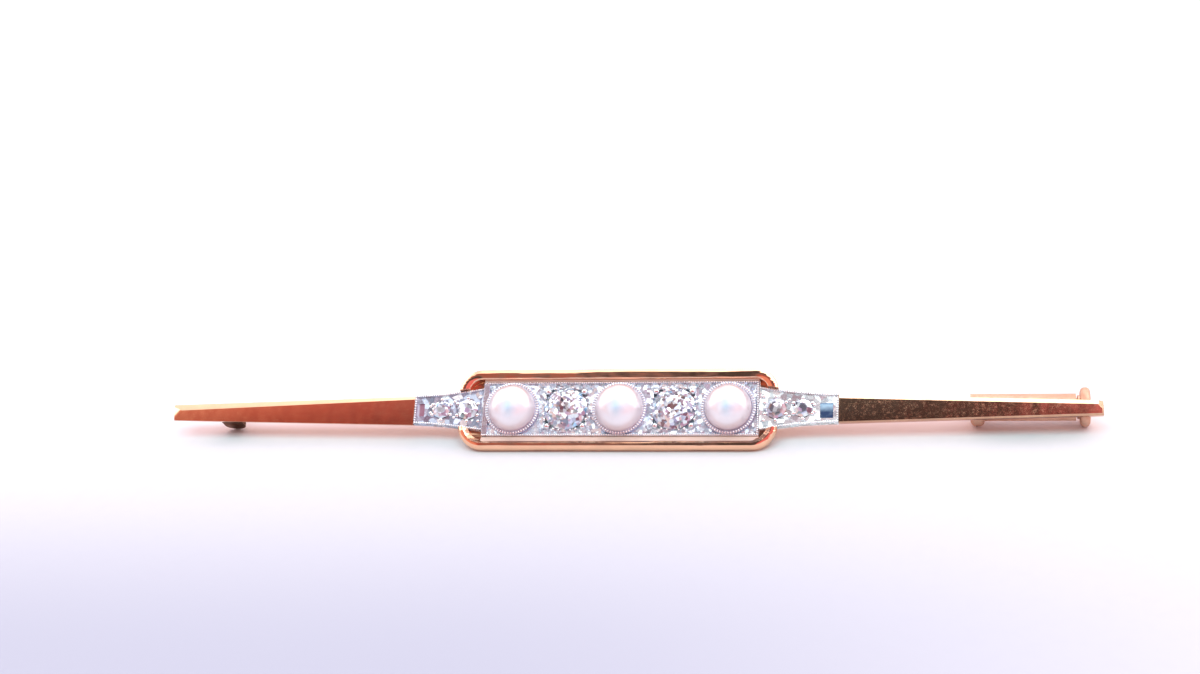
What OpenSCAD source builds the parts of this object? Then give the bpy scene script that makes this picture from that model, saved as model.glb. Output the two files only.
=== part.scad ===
// Bar brooch with three pearls and six diamonds, in gold with a platinum front.
// Each piece is drawn with the brooch face up: X runs along the bar, +Y is its rear edge,
// and z = 0 is the top of the plaque's rim. laid() then tips the brooch forward on to the
// surround, the hinge and the catch's knob, which is how it rests on a flat surface.

/* [Arms] */
// Overall length of the brooch, tip to tip
bar_length = 68; // [66.8:0.2:70]
// Distance from the middle to the seam between a shoulder and its arm
arm_start = 15.5; // [15:0.1:16]
// Half width of an arm at that seam
arm_root_half_w = 1.07; // [1:0.01:1.12]
// Half width of an arm at its tip
arm_tip_half_w = 0.59; // [0.56:0.01:0.65]
// Thickness of the arms
arm_thick = 0.62; // [0.6:0.01:0.7]
// Depth of the arms and shoulders below the plaque's rim
arm_drop = 0.05; // [0.03:0.01:0.08]
// Width of the bevel along the rear edge
bevel_rear = 0.42; // [0.3:0.02:0.44]
// Width of the bevel along the front edge
bevel_front = 0.12; // [0.08:0.02:0.2]
// Depth of both bevels
bevel_depth = 0.22; // [0.15:0.01:0.3]
// Length of the bevel at the tip
tip_bevel = 0.38; // [0.2:0.02:0.5]

/* [Plaque] */
// Half length of the platinum plaque
plaque_half_l = 10.08; // [10:0.02:10.2]
// Half width of the plaque
plaque_half_w = 2.07; // [2.06:0.01:2.1]
// Thickness of the plaque
plaque_thick = 0.8; // [0.75:0.05:0.85]
// Width of the raised rim round the plaque
rim_w = 0.22; // [0.15:0.01:0.25]
// Height of that rim
rim_h = 0.12; // [0.08:0.01:0.14]
// Outer radius of a pearl's collet
collet_r = 2.0; // [1.95:0.01:2.04]
// Height of a collet above the rim
collet_h = 0.12; // [0.05:0.01:0.2]
// Side of the square recess round a large diamond
recess_side = 3.36; // [3.3:0.02:3.4]
// Depth of that recess below the rim
recess_depth = 0.36; // [0.34:0.01:0.4]

/* [Shoulders] */
// Half width of a shoulder where it meets the plaque
shoulder_half_w = 1.63; // [1.5:0.01:1.7]
// Thickness of the shoulder plate
shoulder_thick = 0.5; // [0.48:0.02:0.52]
// Power of the concave flare, from 1 for a straight taper
flare_power = 1.7; // [1.4:0.1:2]

/* [Surround] */
// Distance from the middle line to the centre of a long rail
rail_y = 2.75; // [2.72:0.01:2.8]
// Width of the rail
rail_w = 0.75; // [0.72:0.01:0.78]
// Height of the rail
rail_h = 1.0; // [0.95:0.01:1.05]
// Height of the rail's top above the plaque's rim
rail_top = 0.38; // [0.32:0.01:0.42]
// Distance from the middle to the outside of the surround's end
surround_half_l = 11.6; // [11.5:0.01:11.75]
// Radius of the surround's corner, on the rail's centre line
corner_r = 1.5; // [1.4:0.05:1.6]
// Depth of the tray's underside below the plaque's rim
tray_bottom = 1.5; // [1.4:0.02:1.56]

/* [Stones] */
// Radius of a pearl
pearl_r = 1.68; // [1.6:0.01:1.7]
// Height of a pearl's centre above the rim
pearl_centre = 0.04; // [0:0.01:0.1]
// Distance from the middle pearl to each outer pearl
pearl_pitch = 7.9; // [7.88:0.01:7.95]
// Radius of a large diamond
diamond_r = 1.6; // [1.55:0.01:1.6]
// Distance from the middle to each large diamond
diamond_x = 3.95; // [3.9:0.05:4]
// Height of a large diamond's crown
crown_h = 0.5; // [0.4:0.02:0.6]
// Depth of a large diamond's pavilion
pavilion_h = 1.3; // [1.2:0.05:1.35]
// Radius of the small diamond nearer the plaque
inner_stone_r = 0.8; // [0.7:0.02:0.84]
// Distance from the middle to that diamond
inner_stone_x = 11.25; // [11.2:0.05:11.4]
// Radius of the small diamond nearer the arm
outer_stone_r = 0.7; // [0.6:0.02:0.74]
// Distance from the middle to that diamond
outer_stone_x = 13.2; // [13:0.05:13.3]

/* [Pin and catch] */
// Outer radius of the catch's fixed sleeve
sleeve_r = 0.96; // [0.94:0.01:0.98]
// Radius of the sleeve's bore
sleeve_bore = 0.7; // [0.68:0.01:0.72]
// Radial clearance between the sleeve and the sliding tube
slide_fit = 0.05; // [0.03:0.01:0.08]
// Distance from the middle to the sleeve's mouth
sleeve_mouth = 24.9; // [24.6:0.1:25.2]
// Distance from the middle to the sleeve's far end
sleeve_end = 32.2; // [32:0.05:32.3]
// Distance of the sleeve's axis behind the bar's middle line
sleeve_y = 0.72; // [0.68:0.01:0.76]
// Radius of the lip round the front of the mouth
lip_r = 1.34; // [1.2:0.01:1.36]
// Length of that lip
lip_l = 1.0; // [0.8:0.05:1.2]
// Radius of the knob
knob_r = 1.4; // [1.37:0.01:1.44]
// Clearance between the knob and the underside of the arm
knob_clear = 0.06; // [0.05:0.01:0.1]
// Thickness of the knob
knob_l = 0.7; // [0.6:0.02:0.76]
// Gap between the sleeve and the knob when the catch is shut
knob_gap = 0.28; // [0.2:0.02:0.3]
// Radius of the pin stem
pin_r = 0.3; // [0.26:0.01:0.31]
// Distance from the middle to the pin's point
pin_point = 30.4; // [30:0.1:30.6]
// Distance from the middle to the hinge, on the left
hinge_x = 29.7; // [29.4:0.1:29.9]
// Radius of the hinge's lugs
hinge_r = 0.8; // [0.77:0.01:0.82]
// Width of the hinge over both lugs
hinge_w = 1.2; // [1.18:0.01:1.24]
// Width of the pin's knuckle between the lugs
knuckle_w = 0.66; // [0.64:0.01:0.68]

/* [Hidden] */
$fn = 64;
// Gap between a set piece and the metal that holds it
seat_gap = 0.03;
// Cutters run this far past the face that they cut
past = 0.5;
// Soldered parts run this far into each other
joined = 0.2;
arm_top = -arm_drop;
arm_bottom = arm_top - arm_thick;
// Share of the bevels' depth by which the tip bevel lowers the end of an arm
tip_share = 0.85;
// The bar under a shoulder narrows at bar_waist_x and ends bar_run past the arm's root
bar_top = arm_top - shoulder_thick - seat_gap;
bar_bottom = -1.15;
bar_inset = 0.15;
bar_waist_x = 12.2;
bar_run = 1.2;
plaque_top = -rim_h;
tray_floor = -plaque_thick - seat_gap;
culet_hole_r = 0.95;
ledge_top = -0.3;
ledge_bottom = -0.6;
ledge_half_w = 2.6;
// Top of the plates that close the surround's corners
corner_floor_top = -0.4;
rail_r = rail_w / 2;
rail_low = rail_top - rail_h + rail_r;
rail_high = rail_top - rail_r;
corner_x = surround_half_l - rail_r - corner_r;
corner_y = rail_y - corner_r;
pocket_r = pearl_r + seat_gap;
seat_r = 0.85;
slide_r = sleeve_bore - slide_fit;
slide_bore = pin_r + 0.1;
slide_mouth = sleeve_mouth + 0.4;
slot_w = 2 * pin_r + 0.1;
slot_end = pin_point + 0.5;
sleeve_z = arm_bottom - knob_r - knob_clear;
// The sleeve's foot stands under the arm, so its rear face is foot_back in front of the axis
foot_w = 0.75;
foot_back = 0.15;
knob_x = sleeve_end + knob_gap;
// The knuckle has this much play on each side between the lugs
knuckle_play = 0.04;
lug_w = (hinge_w - knuckle_w) / 2 - knuckle_play;
rivet_r = 0.26;
rivet_fit = 0.05;
taper_l = 2.0;
flare_steps = 10;

// The brooch rests on the front rail's lower edge and on the knob, so the line that touches
// both from below is the surface, and its slope is the angle by which the brooch tips forward.
front_foot = [-rail_y, rail_low];
rear_foot = [sleeve_y, sleeve_z];
feet = rear_foot - front_foot;
tilt = atan2(-feet[1], feet[0]) + asin((knob_r - rail_r) / norm(feet));
lift = rail_r - front_foot[0] * sin(tilt) - front_foot[1] * cos(tilt);
front_reach = -rail_y * cos(tilt) - rail_high * sin(tilt) - rail_r;
rear_reach = sleeve_y * cos(tilt) - sleeve_z * sin(tilt) + knob_r;
centre_shift = -(front_reach + rear_reach) / 2;

// The hinge's front lug is as far forward as lets its lower corner touch the surface too
hinge_front = (-lift - (sleeve_z - hinge_r) * cos(tilt)) / sin(tilt);
hinge_y = hinge_front + hinge_w / 2;
pin_turn = atan2(sleeve_y - hinge_y, pin_point + hinge_x);

// Half width of an arm at a distance x from the middle
function arm_half_w(x) =
    arm_root_half_w + (arm_tip_half_w - arm_root_half_w) * (x - arm_start) / (bar_length / 2 - arm_start);

// Half width of a shoulder at a distance x from the middle
function flare(x) =
    arm_root_half_w + (shoulder_half_w - arm_root_half_w)
    * pow((arm_start - x) / (arm_start - plaque_half_l), flare_power);

// Plan of a shoulder, grown by margin on its long sides
function shoulder_plan(margin) =
    let (
        x0 = plaque_half_l + seat_gap,
        x1 = arm_start - seat_gap,
        xs = [for (i = [0 : flare_steps]) x0 + (x1 - x0) * i / flare_steps]
    )
    concat(
        [for (x = xs) [x, -flare(x) - margin]],
        [for (i = [flare_steps : -1 : 0]) [xs[i], flare(xs[i]) + margin]]
    );

// Cross-section of an arm at x, with its top lowered by cut within the depth of the bevels
function arm_ring(x, cut) =
    let (
        w = arm_half_w(x),
        slope = cut / bevel_depth
    )
    [
        [x, w, arm_bottom],
        [x, w, arm_top - bevel_depth],
        [x, w - bevel_rear * (1 - slope), arm_top - cut],
        [x, -w + bevel_front * (1 - slope), arm_top - cut],
        [x, -w, arm_top - bevel_depth],
        [x, -w, arm_bottom],
    ];

// A ring of n points of radius r at height z, turned by half a step if shift is 0.5
function ring(n, r, z, shift) =
    [for (i = [0 : n - 1]) [r * cos((i + shift) * 360 / n), r * sin((i + shift) * 360 / n), z]];

// Solid through rings of points that all have the same count
module loft(rings) {
    n = len(rings[0]);
    last = len(rings) - 1;
    sides = [
        for (k = [0 : last - 1], i = [0 : n - 1])
            [k * n + i, (k + 1) * n + i, (k + 1) * n + (i + 1) % n, k * n + (i + 1) % n]
    ];
    caps = [[for (i = [0 : n - 1]) i], [for (i = [n - 1 : -1 : 0]) last * n + i]];
    polyhedron(points = [for (r = rings) each r], faces = concat(sides, caps));
}

// Tips the finished brooch on to its resting points and centres it over the origin
module laid() {
    translate([0, centre_shift, lift]) rotate([tilt, 0, 0]) children();
}

// Cylinder along X from x0 to x1 on the sleeve's axis
module along_sleeve(r, x0, x1) {
    translate([x0, sleeve_y, sleeve_z]) rotate([0, 90, 0]) cylinder(r = r, h = x1 - x0);
}

// Cylinder along Y on the hinge's axis, from y0 to y1
module along_hinge(r, y0, y1) {
    translate([-hinge_x, y1, sleeve_z]) rotate([90, 0, 0]) cylinder(r = r, h = y1 - y0);
}

// One gold arm on the right, with bevelled edges and a bevelled tip
module arm() {
    tip = bar_length / 2;
    loft([
        arm_ring(arm_start, 0),
        arm_ring(tip - tip_bevel, 0),
        arm_ring(tip, bevel_depth * tip_share),
    ]);
}

// The bar that runs under a shoulder on the right, from inside the tray to under the arm's root
module under_bar() {
    x0 = plaque_half_l - 3 * joined;
    x1 = arm_start + bar_run;
    root_w = shoulder_half_w - bar_inset;
    waist_w = flare(bar_waist_x) - bar_inset;
    end_w = arm_half_w(x1) - bar_inset;
    translate([0, 0, bar_bottom])
        linear_extrude(height = bar_top - bar_bottom)
            polygon([
                [x0, -root_w], [plaque_half_l, -root_w], [bar_waist_x, -waist_w], [x1, -end_w],
                [x1, end_w], [bar_waist_x, waist_w], [plaque_half_l, root_w], [x0, root_w],
            ]);
}

// Block of the tray, with a ledge along each side and sides that slope in below
module tray_block() {
    shelf = -0.9;
    shelf_half_w = 2.3;
    base_half_w = 1.7;
    translate([-plaque_half_l, 0, 0])
        rotate([90, 0, 90])
            linear_extrude(height = 2 * plaque_half_l)
                polygon([
                    [-ledge_half_w, ledge_top], [-ledge_half_w, ledge_bottom], [-shelf_half_w, shelf],
                    [-base_half_w, -tray_bottom], [base_half_w, -tray_bottom], [shelf_half_w, shelf],
                    [ledge_half_w, ledge_bottom], [ledge_half_w, ledge_top],
                ]);
}

// Plate in the surround's rear corner on the right, beside the shoulder
module corner_floor() {
    translate([0, 0, ledge_bottom])
        linear_extrude(height = corner_floor_top - ledge_bottom)
            difference() {
                intersection() {
                    translate([corner_x, corner_y]) circle(r = corner_r);
                    translate([plaque_half_l - joined, 0]) square([2 * corner_r, rail_y]);
                }
                polygon(shoulder_plan(seat_gap));
            }
}

// Gold tray with its bars and corner plates, open above for the plaque and drilled for two culets
module tray() {
    pocket_l = plaque_half_l + seat_gap;
    pocket_w = plaque_half_w + seat_gap;
    difference() {
        union() {
            tray_block();
            for (side = [0, 1])
                mirror([side, 0, 0]) {
                    under_bar();
                    for (front = [0, 1])
                        mirror([0, front, 0]) corner_floor();
                }
        }
        translate([-pocket_l, -pocket_w, tray_floor])
            cube([2 * pocket_l, 2 * pocket_w, plaque_thick + past]);
        for (side = [-1, 1])
            translate([side * diamond_x, 0, -tray_bottom - past])
                cylinder(r = culet_hole_r, h = tray_bottom + past);
    }
}

// Outline of the rail's cross-section, upright with round edges, centred on x = 0
module rail_section() {
    for (z = [rail_low, rail_high])
        translate([0, z]) circle(r = rail_r);
    translate([-rail_r, rail_low]) square([rail_w, rail_high - rail_low]);
}

// One long rail at the rear with a quarter turn at each end
module rail() {
    translate([-corner_x, rail_y, 0])
        rotate([90, 0, 90]) linear_extrude(height = 2 * corner_x) rail_section();
    for (side = [0, 1])
        mirror([side, 0, 0])
            translate([corner_x, corner_y, 0])
                rotate_extrude(angle = 90) translate([corner_r, 0]) rail_section();
}

// Both rails of the surround, whose ends die against the shoulders
module surround() {
    difference() {
        for (side = [0, 1])
            mirror([0, side, 0]) rail();
        for (side = [0, 1])
            mirror([side, 0, 0])
                translate([0, 0, -tray_bottom])
                    linear_extrude(height = 2 * tray_bottom) polygon(shoulder_plan(seat_gap));
    }
}

// Hinge lugs on their foot under the left arm, with the rivet through them
module hinge() {
    rear = hinge_front + hinge_w;
    for (y = [hinge_front, rear - lug_w]) {
        along_hinge(hinge_r, y, y + lug_w);
        translate([-hinge_x - hinge_r, y, sleeve_z])
            cube([2 * hinge_r, lug_w, arm_bottom - sleeve_z + joined]);
    }
    along_hinge(rivet_r, hinge_front + lug_w / 2, rear - lug_w / 2);
}

// Fixed sleeve of the catch on its foot under the right arm, slotted below for the pin
module sleeve() {
    foot_x = sleeve_mouth + 1.6;
    foot_l = 4.2;
    difference() {
        union() {
            along_sleeve(sleeve_r, sleeve_mouth, sleeve_end);
            translate([foot_x, sleeve_y - foot_back - foot_w, sleeve_z])
                cube([foot_l, foot_w, arm_bottom - sleeve_z + joined]);
            translate([sleeve_mouth, sleeve_y, sleeve_z])
                rotate([0, 90, 0])
                    rotate([0, 0, 240])
                        rotate_extrude(angle = 90)
                            translate([sleeve_bore + 0.02, 0])
                                square([lip_r - sleeve_bore - 0.02, lip_l]);
        }
        along_sleeve(sleeve_bore, sleeve_mouth - past, sleeve_end + past);
        translate([sleeve_mouth - past, sleeve_y - slot_w / 2, sleeve_z - sleeve_r - past])
            cube([slot_end - sleeve_mouth + past, slot_w, sleeve_r + past]);
    }
}

// All the soldered gold: both arms, the tray, the surround, the hinge lugs and the sleeve
module gold_frame() {
    color("#d99a62") laid() {
        for (side = [0, 1])
            mirror([side, 0, 0]) arm();
        tray();
        surround();
        hinge();
        sleeve();
    }
}

// Platinum plaque with a raised rim, three collets and two square recesses
module plaque() {
    color("#dcd8e4") laid() difference() {
        union() {
            translate([-plaque_half_l, -plaque_half_w, -plaque_thick])
                cube([2 * plaque_half_l, 2 * plaque_half_w, plaque_thick]);
            for (k = [-1 : 1])
                translate([k * pearl_pitch, 0, -plaque_thick])
                    cylinder(r = collet_r, h = plaque_thick + collet_h);
        }
        difference() {
            translate([-plaque_half_l + rim_w, -plaque_half_w + rim_w, plaque_top])
                cube([2 * (plaque_half_l - rim_w), 2 * (plaque_half_w - rim_w), rim_h + past]);
            for (k = [-1 : 1])
                translate([k * pearl_pitch, 0, -plaque_thick])
                    cylinder(r = collet_r, h = plaque_thick + collet_h);
        }
        for (k = [-1 : 1])
            translate([k * pearl_pitch, 0, -plaque_thick - past])
                cylinder(r = pocket_r, h = plaque_thick + 2 * past);
        for (side = [-1, 1])
            translate([side * diamond_x, 0, 0]) {
                translate([-recess_side / 2, -recess_side / 2, -recess_depth])
                    cube([recess_side, recess_side, recess_depth + past]);
                translate([0, 0, -plaque_thick - past])
                    cylinder(r = diamond_r * seat_r, h = plaque_thick + past);
            }
    }
}

// One platinum shoulder on the right, drilled for its two small diamonds
module shoulder() {
    seats = [[inner_stone_x, inner_stone_r], [outer_stone_x, outer_stone_r]];
    difference() {
        translate([0, 0, arm_top - shoulder_thick])
            linear_extrude(height = shoulder_thick) polygon(shoulder_plan(0));
        for (seat = seats)
            translate([seat[0], 0, 0]) {
                translate([0, 0, arm_top - 0.2]) cylinder(r = seat[1] + seat_gap, h = past);
                translate([0, 0, arm_top - shoulder_thick - past])
                    cylinder(r = seat[1] * seat_r, h = shoulder_thick + past);
            }
    }
}

module left_shoulder() {
    color("#dcd8e4") laid() mirror([1, 0, 0]) shoulder();
}

module right_shoulder() {
    color("#dcd8e4") laid() shoulder();
}

// Button pearl: a ball cut flat where it sits on the tray
module pearl(x) {
    base = tray_floor + seat_gap;
    color("#f0e4ec") laid() translate([x, 0, 0]) intersection() {
        translate([0, 0, pearl_centre]) sphere(r = pearl_r);
        translate([-2 * pearl_r, -2 * pearl_r, base]) cube([4 * pearl_r, 4 * pearl_r, 4 * pearl_r]);
    }
}

module pearl_left() {
    pearl(-pearl_pitch);
}

module pearl_centre() {
    pearl(0);
}

module pearl_right() {
    pearl(pearl_pitch);
}

// Old-cut brilliant with its girdle's top at z = 0: a table, stars, kites and halves above
// the girdle, and mains and halves below it. The side corners of each kite and main lie in
// its own plane, so that every facet is flat.
module brilliant(r, crown, pavilion) {
    girdle = 0.04;
    table_r = 0.52 * r;
    star_r = 0.74 * r;
    waist_r = 0.5 * r;
    star_z = crown * (1 - (star_r * cos(22.5) - table_r) / (r - table_r));
    waist_z = -girdle - pavilion * (1 - waist_r * cos(22.5) / r);
    points = concat(
        ring(8, table_r, crown, 0), ring(8, star_r, star_z, 0.5), ring(16, r, 0, 0),
        ring(16, r, -girdle, 0), ring(8, waist_r, waist_z, 0.5), [[0, 0, -girdle - pavilion]]
    );
    star = 8;
    top = 16;
    low = 32;
    waist = 48;
    culet = 56;
    eight = [for (i = [0 : 7]) [i, (i + 1) % 8, (i + 7) % 8, 2 * i, (2 * i + 2) % 16]];
    table = [[7, 6, 5, 4, 3, 2, 1, 0]];
    stars = [for (e = eight) [e[0], e[1], star + e[0]]];
    kites = [for (e = eight) [e[0], star + e[0], top + e[3], star + e[2]]];
    halves = [
        for (e = eight) each
            [[star + e[0], top + e[3] + 1, top + e[3]], [star + e[0], top + e[4], top + e[3] + 1]]
    ];
    belt = [for (j = [0 : 15]) [top + j, top + (j + 1) % 16, low + (j + 1) % 16, low + j]];
    under = [
        for (e = eight) each
            [[waist + e[0], low + e[3], low + e[3] + 1], [waist + e[0], low + e[3] + 1, low + e[4]]]
    ];
    mains = [for (e = eight) [culet, waist + e[2], low + e[3], waist + e[0]]];
    polyhedron(points = points, faces = concat(table, stars, kites, halves, belt, under, mains));
}

// Single-cut stone with its girdle's top at z = 0: a table, eight facets above and eight below
module single_cut(r) {
    girdle = 0.03;
    loft([
        ring(8, 0.08 * r, -0.6 * r, 0),
        ring(8, r, -girdle, 0),
        ring(8, r, 0, 0),
        ring(8, 0.55 * r, 0.3 * r, 0),
    ]);
}

module diamond_left() {
    color("#e6ecf4") laid() translate([-diamond_x, 0, 0]) brilliant(diamond_r, crown_h, pavilion_h);
}

module diamond_right() {
    color("#e6ecf4") laid() translate([diamond_x, 0, 0]) brilliant(diamond_r, crown_h, pavilion_h);
}

// Small diamond in a shoulder, with its girdle level with the shoulder's face
module small_diamond(x, r) {
    color("#dfe6f0") laid() translate([x, 0, arm_top]) single_cut(r);
}

module diamond_left_inner() {
    small_diamond(-inner_stone_x, inner_stone_r);
}

module diamond_left_outer() {
    small_diamond(-outer_stone_x, outer_stone_r);
}

module diamond_right_inner() {
    small_diamond(inner_stone_x, inner_stone_r);
}

module diamond_right_outer() {
    small_diamond(outer_stone_x, outer_stone_r);
}

// Pin with its knuckle on the hinge's rivet and its point inside the sliding tube
module pin_stem() {
    stem_l = pin_point + hinge_x - taper_l;
    color("#d8a870") laid() difference() {
        union() {
            along_hinge(hinge_r - 0.08, hinge_y - knuckle_w / 2, hinge_y + knuckle_w / 2);
            translate([-hinge_x, hinge_y, sleeve_z])
                rotate([0, 0, pin_turn])
                    rotate([0, 90, 0]) {
                        cylinder(r = pin_r, h = stem_l);
                        translate([0, 0, stem_l]) cylinder(r1 = pin_r, r2 = 0.05, h = taper_l);
                    }
        }
        along_hinge(rivet_r + rivet_fit, hinge_y - hinge_w, hinge_y + hinge_w);
    }
}

// Sliding tube of the catch with its round knob, shut over the pin's point
module catch_slide() {
    rim = knob_l / 2;
    color("#e0a46c") laid() difference() {
        union() {
            along_sleeve(slide_r, slide_mouth, knob_x + rim);
            translate([knob_x + rim, sleeve_y, sleeve_z])
                rotate([0, 90, 0])
                    rotate_extrude() {
                        translate([0, -rim]) square([knob_r - rim, knob_l]);
                        intersection() {
                            translate([knob_r - rim, 0]) circle(r = rim);
                            translate([0, -rim]) square([knob_r, knob_l]);
                        }
                    }
        }
        along_sleeve(slide_bore, slide_mouth - past, sleeve_end - 1);
    }
}

gold_frame();
plaque();
left_shoulder();
right_shoulder();
pearl_left();
pearl_centre();
pearl_right();
diamond_left();
diamond_right();
diamond_left_inner();
diamond_left_outer();
diamond_right_inner();
diamond_right_outer();
pin_stem();
catch_slide();
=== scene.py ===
"""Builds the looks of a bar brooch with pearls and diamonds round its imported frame."""

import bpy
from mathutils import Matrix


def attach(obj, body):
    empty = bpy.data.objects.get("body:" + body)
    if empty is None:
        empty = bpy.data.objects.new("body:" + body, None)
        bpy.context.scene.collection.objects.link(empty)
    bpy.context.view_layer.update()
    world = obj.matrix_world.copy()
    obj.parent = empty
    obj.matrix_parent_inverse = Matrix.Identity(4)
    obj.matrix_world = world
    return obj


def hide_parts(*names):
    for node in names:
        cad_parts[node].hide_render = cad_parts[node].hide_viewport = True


bl_info = {
    "name": "Bar Brooch",
    "version": (1, 0, 0),
    "blender": (4, 5, 0),
    "location": "View3D > Sidebar > Brooch",
    "description": "Models and dresses a gold and platinum bar brooch with pearls and diamonds",
    "category": "Object",
}

import math
from contextlib import contextmanager
from functools import partial
from itertools import product
from types import SimpleNamespace

import bmesh
import bpy
from bpy.props import FloatProperty, FloatVectorProperty, PointerProperty
from mathutils import Matrix, Vector

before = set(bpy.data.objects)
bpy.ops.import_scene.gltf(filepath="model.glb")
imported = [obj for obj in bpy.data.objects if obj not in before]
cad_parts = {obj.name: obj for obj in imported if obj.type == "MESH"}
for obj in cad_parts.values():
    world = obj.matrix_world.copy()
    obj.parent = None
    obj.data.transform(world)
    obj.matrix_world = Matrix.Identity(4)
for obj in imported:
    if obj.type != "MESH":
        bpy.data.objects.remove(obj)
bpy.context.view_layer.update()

# Pieces are modelled face up in millimetres, and settle() lays them down in metres
MM = 0.001
# The gap between neighbours, which stands for real contact
GAP = 0.03
# How near a point lies to the place that it is looked for at
NEAR = 0.01
SIDES = {-1: "left", 1: "right"}
BLACK, WHITE = (0.0, 0.0, 0.0), (1.0, 1.0, 1.0)


def length(label, words, value):
    """A length property, given in millimetres and kept in metres."""
    return FloatProperty(
        name=label, description=words, default=value * MM, unit="LENGTH", precision=5
    )


def angle(label, words, degrees):
    """An angle property, given in degrees."""
    return FloatProperty(
        name=label, description=words, default=math.radians(degrees), subtype="ANGLE"
    )


def tint(label, words, value):
    """A colour property."""
    return FloatVectorProperty(
        name=label, description=words, default=value, subtype="COLOR", size=3, min=0.0, max=1.0
    )


class BroochSizes(bpy.types.PropertyGroup):
    """Sizes of the brooch, with heights measured from the top of the plaque's rim."""

    bar_length: length("Bar length", "From tip to tip", 68.0)
    arm_start: length("Arm start", "From the middle to the seam of an arm", 15.5)
    seam_shift: length("Seam shift", "How far both seams lie to the right of even", 0.24)
    arm_root_w: length("Arm root", "Half width of an arm at its seam", 1.07)
    arm_tip_w: length("Arm tip", "Half width of an arm at its tip", 0.59)
    arm_thick: length("Arm thickness", "Thickness of an arm", 0.62)
    arm_drop: length("Arm drop", "Depth of the arms below the plaque's rim", 0.05)
    plaque_l: length("Plaque length", "Half length of the plaque", 10.08)
    plaque_w: length("Plaque width", "Half width of the plaque", 2.07)
    plaque_thick: length("Plaque thickness", "Thickness of the plaque", 0.8)
    rim_w: length("Rim width", "Width of the rim round the plaque", 0.2)
    rim_h: length("Rim height", "Height of the rim round the plaque", 0.12)
    collet_r: length("Collet radius", "Outer radius of a pearl's collet", 2.0)
    collet_h: length("Collet height", "Height of a collet above the rim", 0.12)
    recess_side: length("Recess side", "Side of the square recess of a large diamond", 3.36)
    recess_depth: length("Recess depth", "Depth of that recess", 0.36)
    shoulder_w: length("Shoulder width", "Half width of a shoulder at the plaque", 1.63)
    shoulder_thick: length("Shoulder thickness", "Thickness of a shoulder", 0.5)
    rail_y: length("Rail place", "From the middle line to a rail's centre", 2.75)
    rail_w: length("Rail width", "Width of the surround's wire", 0.75)
    rail_h: length("Rail height", "Height of the surround's wire", 1.0)
    rail_top: length("Rail top", "Height of the wire above the plaque's rim", 0.38)
    surround_l: length("Surround length", "Half length of the surround", 11.65)
    surround_shift: length("Surround shift", "How far it lies to the right of even", -0.2)
    corner_r: length("Corner radius", "Radius of the surround's corners", 1.5)
    pearl_r: length("Pearl radius", "Radius of a pearl", 1.68)
    pearl_pitch: length("Pearl pitch", "From the middle pearl to an outer one", 7.9)
    pearl_z: length("Pearl height", "Height of a pearl's centre", 0.04)
    diamond_x: length("Diamond place", "From the middle to a large diamond", 3.95)
    diamond_r: length("Diamond radius", "Radius of a large diamond", 1.6)
    inner_x: length("Inner stone place", "From the middle to the inner small diamond", 11.25)
    inner_r: length("Inner stone radius", "Radius of the inner small diamond", 0.8)
    outer_x: length("Outer stone place", "From the middle to the outer small diamond", 13.2)
    outer_r: length("Outer stone radius", "Radius of the outer small diamond", 0.7)
    sleeve_r: length("Sleeve radius", "Outer radius of the catch's sleeve", 0.96)
    sleeve_bore: length("Sleeve bore", "Radius of the sleeve's bore", 0.7)
    sleeve_mouth: length("Sleeve mouth", "From the middle to the sleeve's mouth", 24.9)
    sleeve_end: length("Sleeve end", "From the middle to the sleeve's far end", 32.2)
    sleeve_y: length("Sleeve place", "From the middle line back to the sleeve's axis", 0.72)
    knob_r: length("Knob radius", "Radius of the catch's knob", 1.4)
    knob_l: length("Knob thickness", "Thickness of the knob", 0.7)
    knob_gap: length("Knob gap", "From the sleeve's end to the knob", 0.28)
    knob_clear: length("Knob clearance", "From the knob to the underside of the arm", 0.06)
    lip_r: length("Lip radius", "Radius of the lip at the sleeve's mouth", 1.34)
    pin_r: length("Pin radius", "Radius of the pin stem", 0.3)
    pin_point: length("Pin point", "From the middle to the pin's point", 30.4)
    hinge_x: length("Hinge place", "From the middle to the hinge", 29.7)
    hinge_r: length("Hinge radius", "Radius of the hinge's lugs", 0.8)
    hinge_w: length("Hinge width", "Width of the hinge over both lugs", 1.2)
    knuckle_w: length("Knuckle width", "Width of the pin's knuckle", 0.66)
    grain_pitch: length("Grain pitch", "From one millegrain bead to the next", 0.165)
    teeth_pitch: length("Teeth pitch", "From one tooth of a collet to the next", 0.19)


class BroochFinish(bpy.types.PropertyGroup):
    """Colours of the brooch and its floor."""

    gold: tint("Gold", "Polished rose gold", (0.93, 0.55, 0.36))
    gold_back: tint("Gold back", "Less polished gold of the back", (0.86, 0.50, 0.29))
    platinum: tint("Platinum", "Bright-cut platinum", (0.71, 0.79, 1.0))
    pearl: tint("Pearl", "Body colour of the pearls", (0.77, 0.70, 0.735))
    # The pearl's outline colour is painted shade, and its blue colour is a painted reflection
    pearl_outline_shade: tint("Pearl rim", "Colour of a pearl near its outline", (0.60, 0.49, 0.53))
    pearl_painted_reflection: tint("Pearl orient", "Blue shine in the middle of a pearl", (0.52, 0.76, 0.92))
    floor: tint("Floor", "Pale surface under the brooch", (0.90, 0.90, 0.90))
    # The floor's painted shade towards the near viewer, whose colour also tints the grain
    floor_shade: tint("Floor shade", "Surface near the viewer", (0.525, 0.545, 0.64))


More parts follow.
